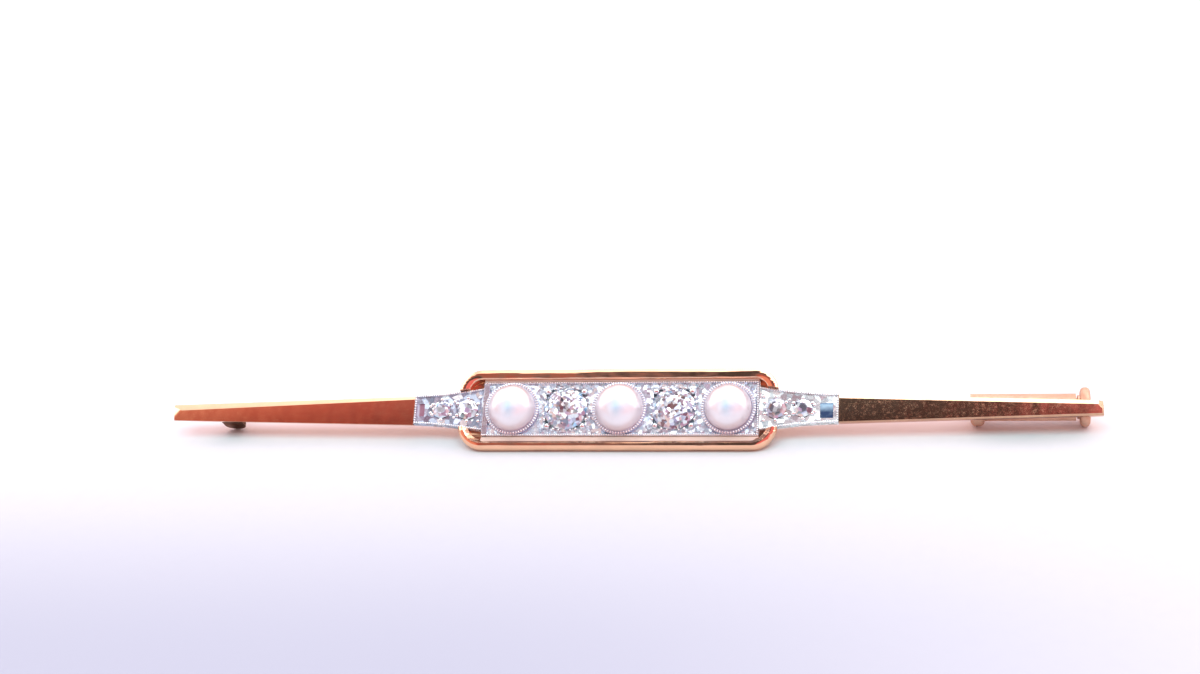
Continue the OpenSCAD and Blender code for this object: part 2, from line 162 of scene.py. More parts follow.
class BroochView(bpy.types.PropertyGroup):
    """The camera's place, as seen from the brooch."""

    azimuth: angle("Azimuth", "Turn of the view to the right", 11.13)
    elevation: angle("Elevation", "Height of the view", 24.6)
    roll: angle("Roll", "Roll of the camera", -5.27)
    distance: length("Distance", "From the camera's plane to the brooch", 150.0)
    aim_x: length("Aim right", "Point that the camera looks at, to the right", -1.666)
    aim_y: length("Aim up", "Point that the camera looks at, upwards", 7.153)
    lens: FloatProperty(
        name="Lens", description="Focal length for a 36 mm sensor", default=61.86,
        subtype="DISTANCE_CAMERA",
    )


def sizes():
    """Every size in millimetres, with those that follow from them."""
    group = bpy.context.scene.brooch_sizes
    s = SimpleNamespace(**{k: getattr(group, k) / MM for k in group.__annotations__})
    s.tip = s.bar_length / 2
    s.arm_top = -s.arm_drop
    s.arm_bottom = s.arm_top - s.arm_thick
    s.rail_r = s.rail_w / 2
    s.rail_low = s.rail_top - s.rail_h + s.rail_r
    s.rail_high = s.rail_top - s.rail_r
    s.corner_x = s.surround_l - s.rail_r - s.corner_r
    s.corner_y = s.rail_y - s.corner_r
    s.small_stones = (s.inner_x, s.inner_r), (s.outer_x, s.outer_r)
    s.sleeve_z = s.arm_bottom - s.knob_r - s.knob_clear
    s.knob_x = s.sleeve_end + s.knob_gap
    s.tray_floor = -s.plaque_thick - GAP

    # The brooch lies on the front rail and the knob, which sets its slope and its height
    run = s.sleeve_y + s.rail_y
    rise = s.sleeve_z - s.rail_low
    s.tilt = math.atan2(-rise, run) + math.asin((s.knob_r - s.rail_r) / math.hypot(run, rise))
    sin_t, cos_t = math.sin(s.tilt), math.cos(s.tilt)
    s.lift = s.rail_r + s.rail_y * sin_t - s.rail_low * cos_t
    front = -s.rail_y * cos_t - s.rail_high * sin_t - s.rail_r
    rear = s.sleeve_y * cos_t - s.sleeve_z * sin_t + s.knob_r
    s.shift = -(front + rear) / 2
    s.hinge_front = (-s.lift - (s.sleeve_z - s.hinge_r) * cos_t) / sin_t
    s.hinge_y = s.hinge_front + s.hinge_w / 2
    return s


def arm_half_w(s, x):
    """Half width of an arm at x from the middle."""
    share = (x - s.arm_start) / (s.tip - s.arm_start)
    return s.arm_root_w + (s.arm_tip_w - s.arm_root_w) * share


def seam(s, side):
    """Distance from the middle to the seam between a shoulder and its arm."""
    return s.arm_start + side * s.seam_shift


def flare(s, x):
    """Half width of a shoulder at x from the middle."""
    share = max(0.0, (s.arm_start - x) / (s.arm_start - s.plaque_l))
    return s.arm_root_w + (s.shoulder_w - s.arm_root_w) * share ** 1.7


def shoulder_edge(s, x, gap, side, way):
    """A plane along a shoulder's edge near x, as a point and a normal for slice_off()."""
    step = 0.1
    slope = (flare(s, x + step) - flare(s, x - step)) / (2 * step)
    return (side * x, way * (flare(s, x) + gap), 0), (side * slope, -way, 0)


def spaced(start, end, pitch):
    """Even steps of about this pitch from start to end."""
    count = int((end - start) / pitch)
    return [start + (end - start) * k / count for k in range(count + 1)]


def ring(x, radius, count, start=0.0):
    """Points round the vertical line at x, each with its turn, from a start in degrees."""
    turns = [math.radians(start) + math.tau * k / count for k in range(count)]
    return [(x + radius * math.cos(turn), radius * math.sin(turn), turn) for turn in turns]


# Modelling helpers


def only(obj):
    """Leaves obj alone selected and active, in object mode."""
    if bpy.context.object and bpy.context.object.mode != "OBJECT":
        bpy.ops.object.mode_set(mode="OBJECT")
    bpy.ops.object.select_all(action="DESELECT")
    if obj is not None:
        obj.select_set(True)
        bpy.context.view_layer.objects.active = obj


@contextmanager
def editing(obj, kind="FACE"):
    """Edit mode on obj with nothing selected."""
    only(obj)
    bpy.ops.object.mode_set(mode="EDIT")
    bpy.ops.mesh.select_mode(type=kind)
    bpy.ops.mesh.select_all(action="DESELECT")
    yield
    bpy.ops.object.mode_set(mode="OBJECT")


def pick_faces(obj, test):
    """Selects the faces whose centre and normal pass the test."""
    mesh = bmesh.from_edit_mesh(obj.data)
    for face in mesh.faces:
        face.select_set(bool(test(face.calc_center_median(), face.normal)))
    bmesh.update_edit_mesh(obj.data)


def pick_points(obj, test):
    """Selects the vertices whose place passes the test."""
    mesh = bmesh.from_edit_mesh(obj.data)
    for point in mesh.verts:
        point.select_set(bool(test(point.co)))
    mesh.select_flush(True)
    bmesh.update_edit_mesh(obj.data)


def pick_all():
    """Selects the whole mesh."""
    bpy.ops.mesh.select_all(action="SELECT")


def towards(*way):
    """A test for the faces that look this way."""
    return lambda centre, normal: normal.dot(way) > 0.9


def extrude(*way):
    """Extrudes what is selected."""
    bpy.ops.mesh.extrude_region_move(TRANSFORM_OT_translate={"value": way})


def move(*way):
    """Moves what is selected."""
    bpy.ops.transform.translate(value=way)


def resize(*shares, centre=(0, 0, 0)):
    """Stretches what is selected about a centre."""
    bpy.ops.transform.resize(value=shares, center_override=centre)


def new_object(name):
    """Names the active object and applies its place."""
    obj = bpy.context.object
    obj.name = obj.data.name = name
    bpy.ops.object.transform_apply(location=True, rotation=True, scale=True)
    return obj


def linked(name, data):
    """A new object with this data, put into the scene."""
    obj = bpy.data.objects.new(name, data)
    bpy.context.scene.collection.objects.link(obj)
    return obj


def block(name, corner, opposite):
    """A box between two opposite corners."""
    corner, opposite = Vector(corner), Vector(opposite)
    only(None)
    bpy.ops.mesh.primitive_cube_add(
        size=1, location=(corner + opposite) / 2, scale=[abs(side) for side in opposite - corner]
    )
    return new_object(name)


def rod(name, start, end, radius, sides=48, end_radius=None):
    """A round rod, or a cone, between two points."""
    start, end = Vector(start), Vector(end)
    only(None)
    bpy.ops.mesh.primitive_cone_add(
        vertices=sides, radius1=radius, radius2=radius if end_radius is None else end_radius,
        depth=(end - start).length, location=(start + end) / 2,
        rotation=(end - start).to_track_quat("Z", "Y").to_euler(),
    )
    return new_object(name)


def well(x, radius, sides, top=1):
    """An upright round cutter through the tray or a plate."""
    return rod("well", (x, 0, -2), (x, 0, top), radius, sides)


def slice_off(obj, point, normal, part=lambda centre, normal: True):
    """Cuts off what lies beyond a plane, or a part of it, and closes the cut."""
    with editing(obj):
        pick_faces(obj, part)
        bpy.ops.mesh.bisect(
            plane_co=point, plane_no=Vector(normal).normalized(), use_fill=True, clear_outer=True
        )


def slice_through(obj, corners, outwards):
    """Slices along the plane through three corners, on the side that looks outwards."""
    a, b, c = map(Vector, corners)
    normal = (b - a).cross(c - a)
    slice_off(obj, a, normal if normal.dot(outwards) > 0 else -normal)


def finish_modifier(obj, kind, **values):
    """Adds a modifier with these values and applies it."""
    only(obj)
    modifier = obj.modifiers.new(kind.title(), kind)
    for name, value in values.items():
        setattr(modifier, name, value)
    bpy.ops.object.modifier_apply(modifier=modifier.name)


def combine(operation, obj, *tools):
    """Cuts the tools out of obj or adds them to it, and deletes them."""
    for tool in tools:
        finish_modifier(obj, "BOOLEAN", operation=operation, solver="EXACT", object=tool)
        bpy.data.meshes.remove(tool.data)


cut = partial(combine, "DIFFERENCE")
weld = partial(combine, "UNION")


def join(name, parts):
    """Joins several objects into one."""
    only(parts[0])
    for part in parts:
        part.select_set(True)
    bpy.ops.object.join()
    return new_object(name)


def smooth(obj, degrees):
    """Smooth shading, with creases sharper than the angle kept."""
    only(obj)
    bpy.ops.object.shade_smooth_by_angle(angle=math.radians(degrees))


def soften(obj, width, segments=2, degrees=30):
    """Rounds the sharp edges a little, and keeps the large faces between them flat to the eye."""
    finish_modifier(
        obj, "BEVEL", width=width, segments=segments, limit_method="ANGLE",
        angle_limit=math.radians(degrees), miter_outer="MITER_ARC",
    )
    smooth(obj, 40)
    finish_modifier(obj, "WEIGHTED_NORMAL", weight=90, keep_sharp=True)


def strip(name, side, ends, levels, steps, half_w):
    """A plate that runs outwards on one side, with a half width for each step."""
    (x0, x1), (low, high) = ends, levels
    step = (x1 - x0) / steps
    plate = block(name, (side * x0, -1, low), (side * (x0 + step), 1, high))
    with editing(plate):
        pick_faces(plate, towards(side, 0, 0))
        for _ in range(steps - 1):
            extrude(side * step, 0, 0)
    with editing(plate, "VERT"):
        for k in range(steps + 1):
            x = x0 + step * k
            pick_points(plate, lambda p: abs(abs(p.x) - x) < NEAR)
            resize(1, half_w(x), 1)
    return plate


def grain_bead(long_way=1.0):
    """Half of a small ball, for millegrain and setting beads, with a radius of 1."""
    only(None)
    bpy.ops.mesh.primitive_uv_sphere_add(segments=8, ring_count=6, radius=1)
    bead = new_object("grain")
    with editing(bead, "VERT"):
        pick_points(bead, lambda p: p.z < -0.55)
        bpy.ops.mesh.delete(type="VERT")
        pick_all()
        resize(long_way, 1, 1)
    return bead


def at(x, y, z, size, turn=0.0):
    """Place of a scattered copy, with one size or three, turned about Z."""
    size = size if isinstance(size, tuple) else (size,) * 3
    turned = Matrix.Rotation(turn, 4, "Z") @ Matrix.Diagonal((*size, 1))
    return Matrix.Translation((x, y, z)) @ turned


def scatter(name, model, places):
    """One mesh with a copy of the model's mesh at each place."""
    gathered = bmesh.new()
    for place in places:
        copy = model.data.copy()
        copy.transform(place)
        gathered.from_mesh(copy)
        bpy.data.meshes.remove(copy)
    mesh = bpy.data.meshes.new(name)
    gathered.to_mesh(mesh)
    gathered.free()
    bpy.data.meshes.remove(model.data)
    obj = linked(name, mesh)
    smooth(obj, 60)
    return obj


def paint(obj, material, *patches):
    """Gives obj a material, and others to the faces that pass the test beside each."""
    obj.data.materials.clear()
    obj.data.materials.append(material)
    for index, (patch, test) in enumerate(patches, 1):
        obj.data.materials.append(patch)
        for face in obj.data.polygons:
            if test(face.center, face.normal):
                face.material_index = index


def settle(obj, slot, node, *materials, body="brooch"):
    """Paints a finished piece, lays it down in metres and ties it to the frame."""
    s = sizes()
    paint(obj, *materials)
    only(obj)
    obj.matrix_world = (
        Matrix.Scale(MM, 4)
        @ Matrix.Translation((0, s.shift, s.lift))
        @ Matrix.Rotation(s.tilt, 4, "X")
    )
    bpy.ops.object.transform_apply(location=True, rotation=True, scale=True)
    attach(obj, body)
    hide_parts(node)


# Materials


class Nodes:
    """A node tree, with short ways to add and join nodes."""

    def __init__(self, tree):
        self.tree = tree

    def feed(self, socket, value):
        """Links an output to a socket, or sets the socket to a plain value."""
        if isinstance(value, bpy.types.NodeSocket):
            self.tree.links.new(value, socket)
        elif value is not None:
            socket.default_value = (*value, 1.0) if socket.type == "RGBA" else value

    def add(self, kind, *inputs, out=0, **values):
        """Adds a node and gives one output. Its inputs, each an output or a plain value, come
        in order or by name, and its settings in small letters."""
        node = self.tree.nodes.new("ShaderNode" + kind)
        for name, value in values.items():
            if name.islower():
                setattr(node, name, value)
            else:
                self.feed(node.inputs[name.replace("_", " ")], value)
        for socket, value in zip(node.inputs, inputs):
            self.feed(socket, value)
        return node.outputs[out]

    def number(self, operation, *inputs):
        """Reckons with numbers."""
        return self.add("Math", *inputs, operation=operation)

    def vector(self, operation, *inputs, **values):
        """Reckons with vectors."""
        return self.add("VectorMath", *inputs, operation=operation, **values)

    def axes(self, coordinates):
        """The outputs X, Y and Z of coordinates."""
        return self.add("SeparateXYZ", coordinates).node.outputs

    def reach(self, across, along):
        """Distance from a middle."""
        return self.vector("LENGTH", self.add("CombineXYZ", across, along), out=1)

    def noise(self, coordinates, scale, detail=3.0, roughness=0.5):
        """A cloudy pattern."""
        return self.add(
            "TexNoise", coordinates, Scale=scale, Detail=detail, Roughness=roughness
        )

    def cells(self, coordinates, scale, out, feature="F1"):
        """One output of a pattern of cells."""
        return self.add("TexVoronoi", coordinates, Scale=scale, out=out, feature=feature)

    def spread(self, factor, low, high, start=0.0, end=1.0, **settings):
        """Maps a factor from start..end to low..high."""
        return self.add("MapRange", factor, start, end, low, high, **settings)

    def ramp(self, factor, *stops, steps=False):
        """Colours along a factor, each stop a position and a colour."""
        colour = self.add("ValToRGB", factor)
        band = colour.node.color_ramp
        band.interpolation = "CONSTANT" if steps else "LINEAR"
        while len(band.elements) < len(stops):
            band.elements.new(0.5)
        for element, (position, stop) in zip(band.elements, stops):
            element.position = position
            element.color = (*stop, 1.0)
        return colour

    def mix(self, factor, first, second):
        """Mix of two colours."""
        mixed = self.add("Mix", factor, out=2, data_type="RGBA")
        for socket, colour in zip(mixed.node.inputs[6:8], (first, second)):
            self.feed(socket, colour)
        return mixed

    def bump(self, height, strength, distance, below=None):
        """Bump of this depth in millimetres, over another bump if one is given."""
        return self.add("Bump", strength, distance * MM, Height=height, Normal=below)

    def facets(self, cells, amount):
        """Normals that lean a different way in each cell, as bright-cut metal does."""
        centred = self.vector("SUBTRACT", cells, (0.5, 0.5, 0.5))
        leaning = self.vector("SCALE", centred, Scale=amount)
        normal = self.add("NewGeometry", out="Normal")
        return self.vector("NORMALIZE", self.vector("ADD", normal, leaning))


class Finish(Nodes):
    """A new material, with patterns that lie on the pieces as they are modelled."""

    def __init__(self, name):
        self.material = bpy.data.materials.new(name)
        self.material.use_nodes = True
        super().__init__(self.material.node_tree)

    def flat(self, *stretch):
        """Object coordinates in millimetres, before settle() lays the pieces down."""
        s = sizes()
        sin_t, cos_t = math.sin(s.tilt), math.cos(s.tilt)
        origin = (0, -cos_t * s.shift - sin_t * s.lift, sin_t * s.shift - cos_t * s.lift)
        turned = self.add(
            "Mapping", self.add("TexCoord", out="Object"), origin, (-s.tilt, 0, 0), (1 / MM,) * 3,
            vector_type="POINT",
        )
        return self.vector("MULTIPLY", turned, stretch or (1, 1, 1))

    def patches(self, factor, colour, dark, light):
        """Soft patches of a colour, from a darker to a lighter shade."""
        return self.ramp(factor, (0.3, shade(colour, dark)), (0.7, shade(colour, light)))

    def done(self, **sockets):
        """Feeds the shader's sockets, named with underscores, and hands over the material."""
        shader = self.tree.nodes["Principled BSDF"]
        for name, value in sockets.items():
            self.feed(shader.inputs[name.replace("_", " ")], value)
        return self.material


def shade(colour, factor):
    """A colour made darker or lighter."""
    return tuple(min(1.0, c * factor) for c in colour)


def gold(
    n, colour, roughness, waves, scratches, dust=0.0, wear=0.0, ripple=0.0, metal=1.0, painted_reflection_fade=0.0
):
    """Gold with hand-finished waves and fine scratches and, on the arms, specks, wear and a
    painted reflection.
    """
    plain = n.flat()
    cloud = n.noise(plain, 0.55, 4.0, 0.6)
    # Random tone in patches, made lighter overall where a painted reflection is asked for
    tone = n.patches(cloud, colour, 0.9 + painted_reflection_fade, 1.06 + painted_reflection_fade)
    if painted_reflection_fade:
        # Painted reflection: the colour is lighter at the rear edge and deepens towards the front
        # one
        painted_dark_reflection = n.patches(cloud, colour, 0.8 - painted_reflection_fade, 0.94 - painted_reflection_fade)
        tone = n.mix(n.spread(n.axes(plain)["Y"], 0.0, 1.0, -0.9, 0.8), painted_dark_reflection, tone)
    smear, low, high, start, end = (2.2, 6.0, 0.65), roughness * 0.6, roughness * 1.7, 0.3, 0.7
    if wear:
        smear, high, start, end = (3.4, 6.0, 0.75), wear, 0.44, 0.76
        worn = n.spread(n.noise(plain, 0.9, 5.0, 0.7), 0.6, 0.0, 0.36, 0.6)
        tone = n.mix(worn, tone, shade(colour, 0.5))
    rough = n.spread(n.noise(plain, *smear), low, high, start, end)
    if dust:
        specks = n.spread(n.cells(plain, 1.4, "Distance"), dust, 0.0, 0.0, 0.06)
        tone = n.mix(specks, tone, (1.0, 0.86, 0.66))
        pits = n.spread(n.noise(plain, 14.0, 2.0, 0.6), 0.0, 0.35 * dust, 0.62, 0.75)
        tone = n.mix(pits, tone, (1.0, 0.80, 0.55))
    wave = n.bump(n.noise(plain, 0.8, 1.0), waves, 0.3)
    if ripple:
        wave = n.bump(n.noise(n.flat(0.22, 1.6, 1.6), 1.0, 2.0), ripple, 0.3, wave)
    scratch = n.bump(n.noise(n.flat(0.35, 9.0, 9.0), 3.0, 5.0, 0.7), scratches, 0.004, wave)
    return n.done(Base_Color=tone, Metallic=metal, Roughness=rough, Normal=scratch)


def platinum_cut(n, colour, scale=4.2, lean=0.75):
    """Platinum cut with a graver: facets of many slopes that tilt the normals, with painted
    highlights and painted shade on the facets and painted shade in the cuts.
    """
    plain = n.flat()
    large = n.cells(plain, scale, "Color")
    small = n.spread(n.cells(plain, scale * 2.3, "Distance"), 0.0, 0.35, 0.25, 0.8)
    edges = n.cells(plain, scale, "Distance", "DISTANCE_TO_EDGE")
    # Painted highlights and painted shade: each facet gets a near-white, a plain or a darker copy
    # of the colour
    tone = n.ramp(
        n.add("SeparateColor", large), (0.0, (0.90, 0.96, 1.0)), (0.3, colour),
        (0.62, shade(colour, 0.8)), (0.84, shade(colour, 0.5)), steps=True,
    )
    # Painted shade in the small cells and along the cuts
    tone = n.mix(small, tone, shade(colour, 0.55))
    tone = n.mix(n.spread(edges, 0.45, 0.0, 0.0, 0.06), tone, shade(colour, 0.4))
    return n.done(
        Base_Color=tone, Metallic=0.55, Roughness=n.spread(n.noise(plain, 6.0), 0.14, 0.36),
        Normal=n.facets(large, lean), Specular_IOR_Level=0.9,
    )


def platinum_plain(n, colour, roughness=0.2):
    """Platinum with a soft polish and light tool marks."""
    along = n.flat(1.0, 6.0, 6.0)
    return n.done(
        Base_Color=n.patches(n.noise(n.flat(), 1.6, 4.0), colour, 0.86, 1.12), Metallic=1.0,
        Roughness=n.spread(n.noise(along, 4.0, 4.0), roughness * 0.6, roughness * 1.6),
        Normal=n.bump(n.noise(along, 5.0, 4.0), 0.35, 0.01),
    )


def square_tint(n, first, second, axis, start, end):
    """Sunk square that turns from one tint to another along an axis, as painted light at its
    lighter end and painted shade at its darker end.
    """
    plain = n.flat()
    blend = n.spread(n.axes(plain)[axis], 0.0, 1.0, start, end)
    cloud = n.number("ADD", blend, n.spread(n.noise(plain, 3.0, 3.0), -0.25, 0.25))
    return n.done(
        Base_Color=n.mix(cloud, first, second), Metallic=0.35, Roughness=0.25,
        Normal=n.bump(n.noise(plain, 5.0, 4.0), 0.3, 0.01), Specular_IOR_Level=0.6,
    )


def nacre(n, colour, rim, painted_blue_reflection, pitch):
    """Pearl: pale pink body with a painted blue reflection in the middle and painted shade at the
    outline, under a soft gloss.
    """
    plain = n.flat()
    x, y, _ = n.axes(plain)
    reach = n.reach(n.number("PINGPONG", x, pitch / 2), n.number("ADD", y, 0.35))
    facing = n.add("LayerWeight", 0.35, out="Facing")
    body = n.ramp(n.noise(plain, 0.45, 3.0), (0.35, colour), (0.65, shade(colour, 1.08)))
    # Painted shade: the body deepens towards the outline as the surface turns away from the view
    body = n.mix(n.spread(facing, 0.0, 0.85, 0.15, 0.95), body, rim)
    # Painted reflection: a blue spot in the middle of each pearl
    body = n.mix(n.spread(reach, 0.75, 0.0, 0.08, 0.8), body, painted_blue_reflection)
    return n.done(
        Base_Color=body, Roughness=n.spread(n.noise(plain, 1.5), 0.27, 0.36),
        Normal=n.bump(n.noise(plain, 2.4, 4.0), 0.1, 0.02), Metallic=0.25,
        Specular_IOR_Level=0.8, Coat_Weight=1.0, Coat_Roughness=0.30, Coat_IOR=1.6,
        Sheen_Weight=0.1, Sheen_Roughness=0.4, Sheen_Tint=(0.95, 0.88, 1.0),
    )


def diamond(n, centre, radius, scale=2.6, lean=0.6, dark=(0.22, 0.5)):
    """Old-cut diamond under real gloss and a little glass, with painted white, grey, lavender and
    pale blue flashes round a darker painted reflection in the middle.
    """
    plain = n.flat()
    x, y, _ = n.axes(plain)
    across = n.number("SUBTRACT", n.number("ABSOLUTE", x), centre)
    reach = n.reach(across, n.number("SUBTRACT", y, radius * -0.05))
    painted_flashes = n.cells(plain, scale, "Color")
    pick = n.add("SeparateColor", painted_flashes)
    # Painted reflections: each facet's flash, and darker ones in the middle
    pale = n.ramp(
        pick, (0.0, (0.90, 0.97, 1.0)), (0.26, (0.47, 0.50, 0.67)), (0.44, (0.69, 0.72, 0.92)),
        (0.62, (0.18, 0.18, 0.25)), (0.72, (0.40, 0.70, 1.0)), (0.80, (0.90, 0.97, 1.0)),
        steps=True,
    )
    painted_dark_reflection = n.ramp(
        pick, (0.0, (0.16, 0.14, 0.18)), (0.38, (0.36, 0.32, 0.40)), (0.58, (0.9, 0.9, 1.0)),
        (0.68, (0.10, 0.09, 0.12)), (0.80, (0.50, 0.62, 0.90)), (0.92, (0.26, 0.21, 0.24)),
        steps=True,
    )
    middle = n.spread(reach, 1.0, 0.0, *(radius * share for share in dark))
    return n.done(
        Base_Color=n.mix(middle, pale, painted_dark_reflection), Metallic=0.45, Roughness=0.06, IOR=2.417,
        Transmission_Weight=0.2, Normal=n.facets(painted_flashes, lean), Specular_IOR_Level=0.9,
    )


def colours():
    """The brooch's materials, made once and kept by name."""
    s, f = sizes(), bpy.context.scene.brooch_finish
    # Painted shade: the darker end colours of the two sunk squares
    shaded_mauve_square, shaded_blue_square = (0.42, 0.20, 0.27), (0.035, 0.07, 0.17)
    makers = {
        # The arms' golds carry a painted reflection; the right one also has real wear and dust
        "arm_gold": lambda n: gold(n, f.gold, 0.07, 0.035, 0.35, dust=1.1, painted_reflection_fade=0.2),
        "worn_gold": lambda n: gold(n, f.gold, 0.07, 0.05, 0.5, dust=1.9, wear=0.25, painted_reflection_fade=0.3),
        "rail_gold": lambda n: gold(n, f.gold, 0.06, 0.05, 0.25, ripple=0.36),
        # Painted light: a lighter, mostly matt copy of the gold for the ledge in its channel and
        # the plaque's side walls
        "ledge_gold": lambda n: gold(
            n, (0.78, 0.56, 0.47), 0.5, 0.08, 0.5, ripple=0.2, metal=0.15
        ),
        # Painted shade: a darker copy of the gold for the surround's corner plates and the front
        # wire's inner slope
        "corner_gold": lambda n: gold(n, shade(f.gold, 0.6), 0.16, 0.1, 0.5, ripple=0.3),
        "back_gold": lambda n: gold(n, f.gold_back, 0.2, 0.12, 0.8),
        "catch_gold": lambda n: gold(n, (0.68, 0.40, 0.29), 0.5, 0.06, 0.4, metal=0.8),
        # Painted shade: the hinge under the left arm gets a near-black gold
        "hinge_gold": lambda n: gold(n, (0.15, 0.065, 0.03), 0.35, 0.12, 0.8),
        "cut_platinum": lambda n: platinum_cut(n, shade(f.platinum, 1.1)),
        "plain_platinum": lambda n: platinum_plain(n, f.platinum),
        # Painted light: the beads and teeth get a lighter copy of the platinum and the collets a
        # darker one
        "grain_platinum": lambda n: platinum_plain(n, shade(f.platinum, 1.2), 0.18),
        "collet_platinum": lambda n: platinum_plain(n, shade(f.platinum, 0.78), 0.36),
        # Painted light and shade: the left shoulder gets a darker copy of the cut platinum and the
        # right one a lighter copy
        "shoulder_left": lambda n: platinum_cut(n, shade(f.platinum, 0.76), 2.6, 0.55),
        "shoulder_right": lambda n: platinum_cut(n, shade(f.platinum, 1.22), 2.6, 0.45),
        "square_left": lambda n: square_tint(
            n, (0.74, 0.72, 0.84), shaded_mauve_square, "X", -14.98, -14.84
        ),
        "square_right": lambda n: square_tint(
            n, shaded_blue_square, (0.56, 0.78, 0.95), "Y", -0.24, 0.26
        ),
        "nacre": lambda n: nacre(n, f.pearl, f.pearl_outline_shade, f.pearl_painted_reflection, s.pearl_pitch),
        "diamond_large": lambda n: diamond(n, s.diamond_x, s.diamond_r, 4.2, 0.8),
        "diamond_inner": lambda n: diamond(n, s.inner_x, s.inner_r, dark=(0.45, 0.75)),
        "diamond_outer": lambda n: diamond(n, s.outer_x, s.outer_r, dark=(0.3, 0.6)),
    }
    return SimpleNamespace(**{
        name: bpy.data.materials.get(name) or make(Finish(name)) for name, make in makers.items()
    })


# Pieces


def make_arm(s, side):
    """One tapered arm, whose bevels change in width towards the tip."""
    left = side < 0
    x0, x1 = side * seam(s, side), side * s.tip
    # The front edge was filed less than the rear one, most of all at the left tip
    more_root, more_tip = (0.13, 0.19) if left else (0.02, 0)
    root = {1: s.arm_root_w, -1: s.arm_root_w + more_root}
    tip = {1: s.arm_tip_w, -1: s.arm_tip_w + more_tip}
    arm = block(
        f"arm_{SIDES[side]}", (x0, -s.arm_root_w, s.arm_bottom), (x1, s.arm_root_w, s.arm_top)
    )
    with editing(arm, "VERT"):
        for (x, half_w), way in product(((x0, root), (x1, tip)), (-1, 1)):
            pick_points(arm, lambda p: abs(p.x - x) < NEAR and p.y * way > 0)
            resize(1, half_w[way] / s.arm_root_w, 1, centre=(x, 0, 0))
    # Each bevel's width at the seam, and its depth at the seam and at the tip
    rear_bevel = (0.27, 0.20, 0.45) if left else (0.31, 0.24, 0.29)
    front_bevel = (0.02, 0.02, 0.02) if left else (0.08, 0.09, 0.17)
    for way, (wide, depth_root, depth_tip) in ((1, rear_bevel), (-1, front_bevel)):
        slice_through(arm, (
            (x0, way * root[way], s.arm_top - depth_root),
            (x1, way * tip[way], s.arm_top - depth_tip),
            (x0, way * (root[way] - wide), s.arm_top),
        ), (0, 0, 1))
    # The front wall is undercut, so that little of it shows below the face
    under, edge_z = 0.16 if left else 0.10, s.arm_top - 0.02
    slice_through(arm, (
        (x0, -root[-1], edge_z), (x1, -tip[-1], edge_z), (x0, under - root[-1], s.arm_bottom),
    ), (0, -1, 0))
    if left:
        # The left tip is cut a little aslant, and ends in one low facet
        facets = ((0, s.arm_tip_w), (-1, -0.2, 0)), ((0.2, -0.75), (-0.26, 0.20, 0.93))
    else:
        # The right tip has its rear corner cut and a small end bevel
        facets = ((-0.3, s.arm_tip_w - 0.46), (0.55, 0.45, 0.70)), ((-0.1, 0), (0.8, 0, 0.6))
    for (dx, y), normal in facets:
        slice_off(arm, (x1 + dx, y, s.arm_top), normal)
    soften(arm, 0.03 if left else 0.07, segments=3, degrees=20)
    return arm


class BROOCH_OT_arms(bpy.types.Operator):
    """Model the two tapered gold arms"""

    bl_idname = "brooch.arms"
    bl_label = "Arms"

    def execute(self, context):
        s, c = sizes(), colours()
        for side, finish in ((-1, c.arm_gold), (1, c.worn_gold)):
            underside = c.back_gold, lambda p, n: n.z < -0.7
            settle(make_arm(s, side), "gold", "gold_frame", finish, underside)
        return {"FINISHED"}


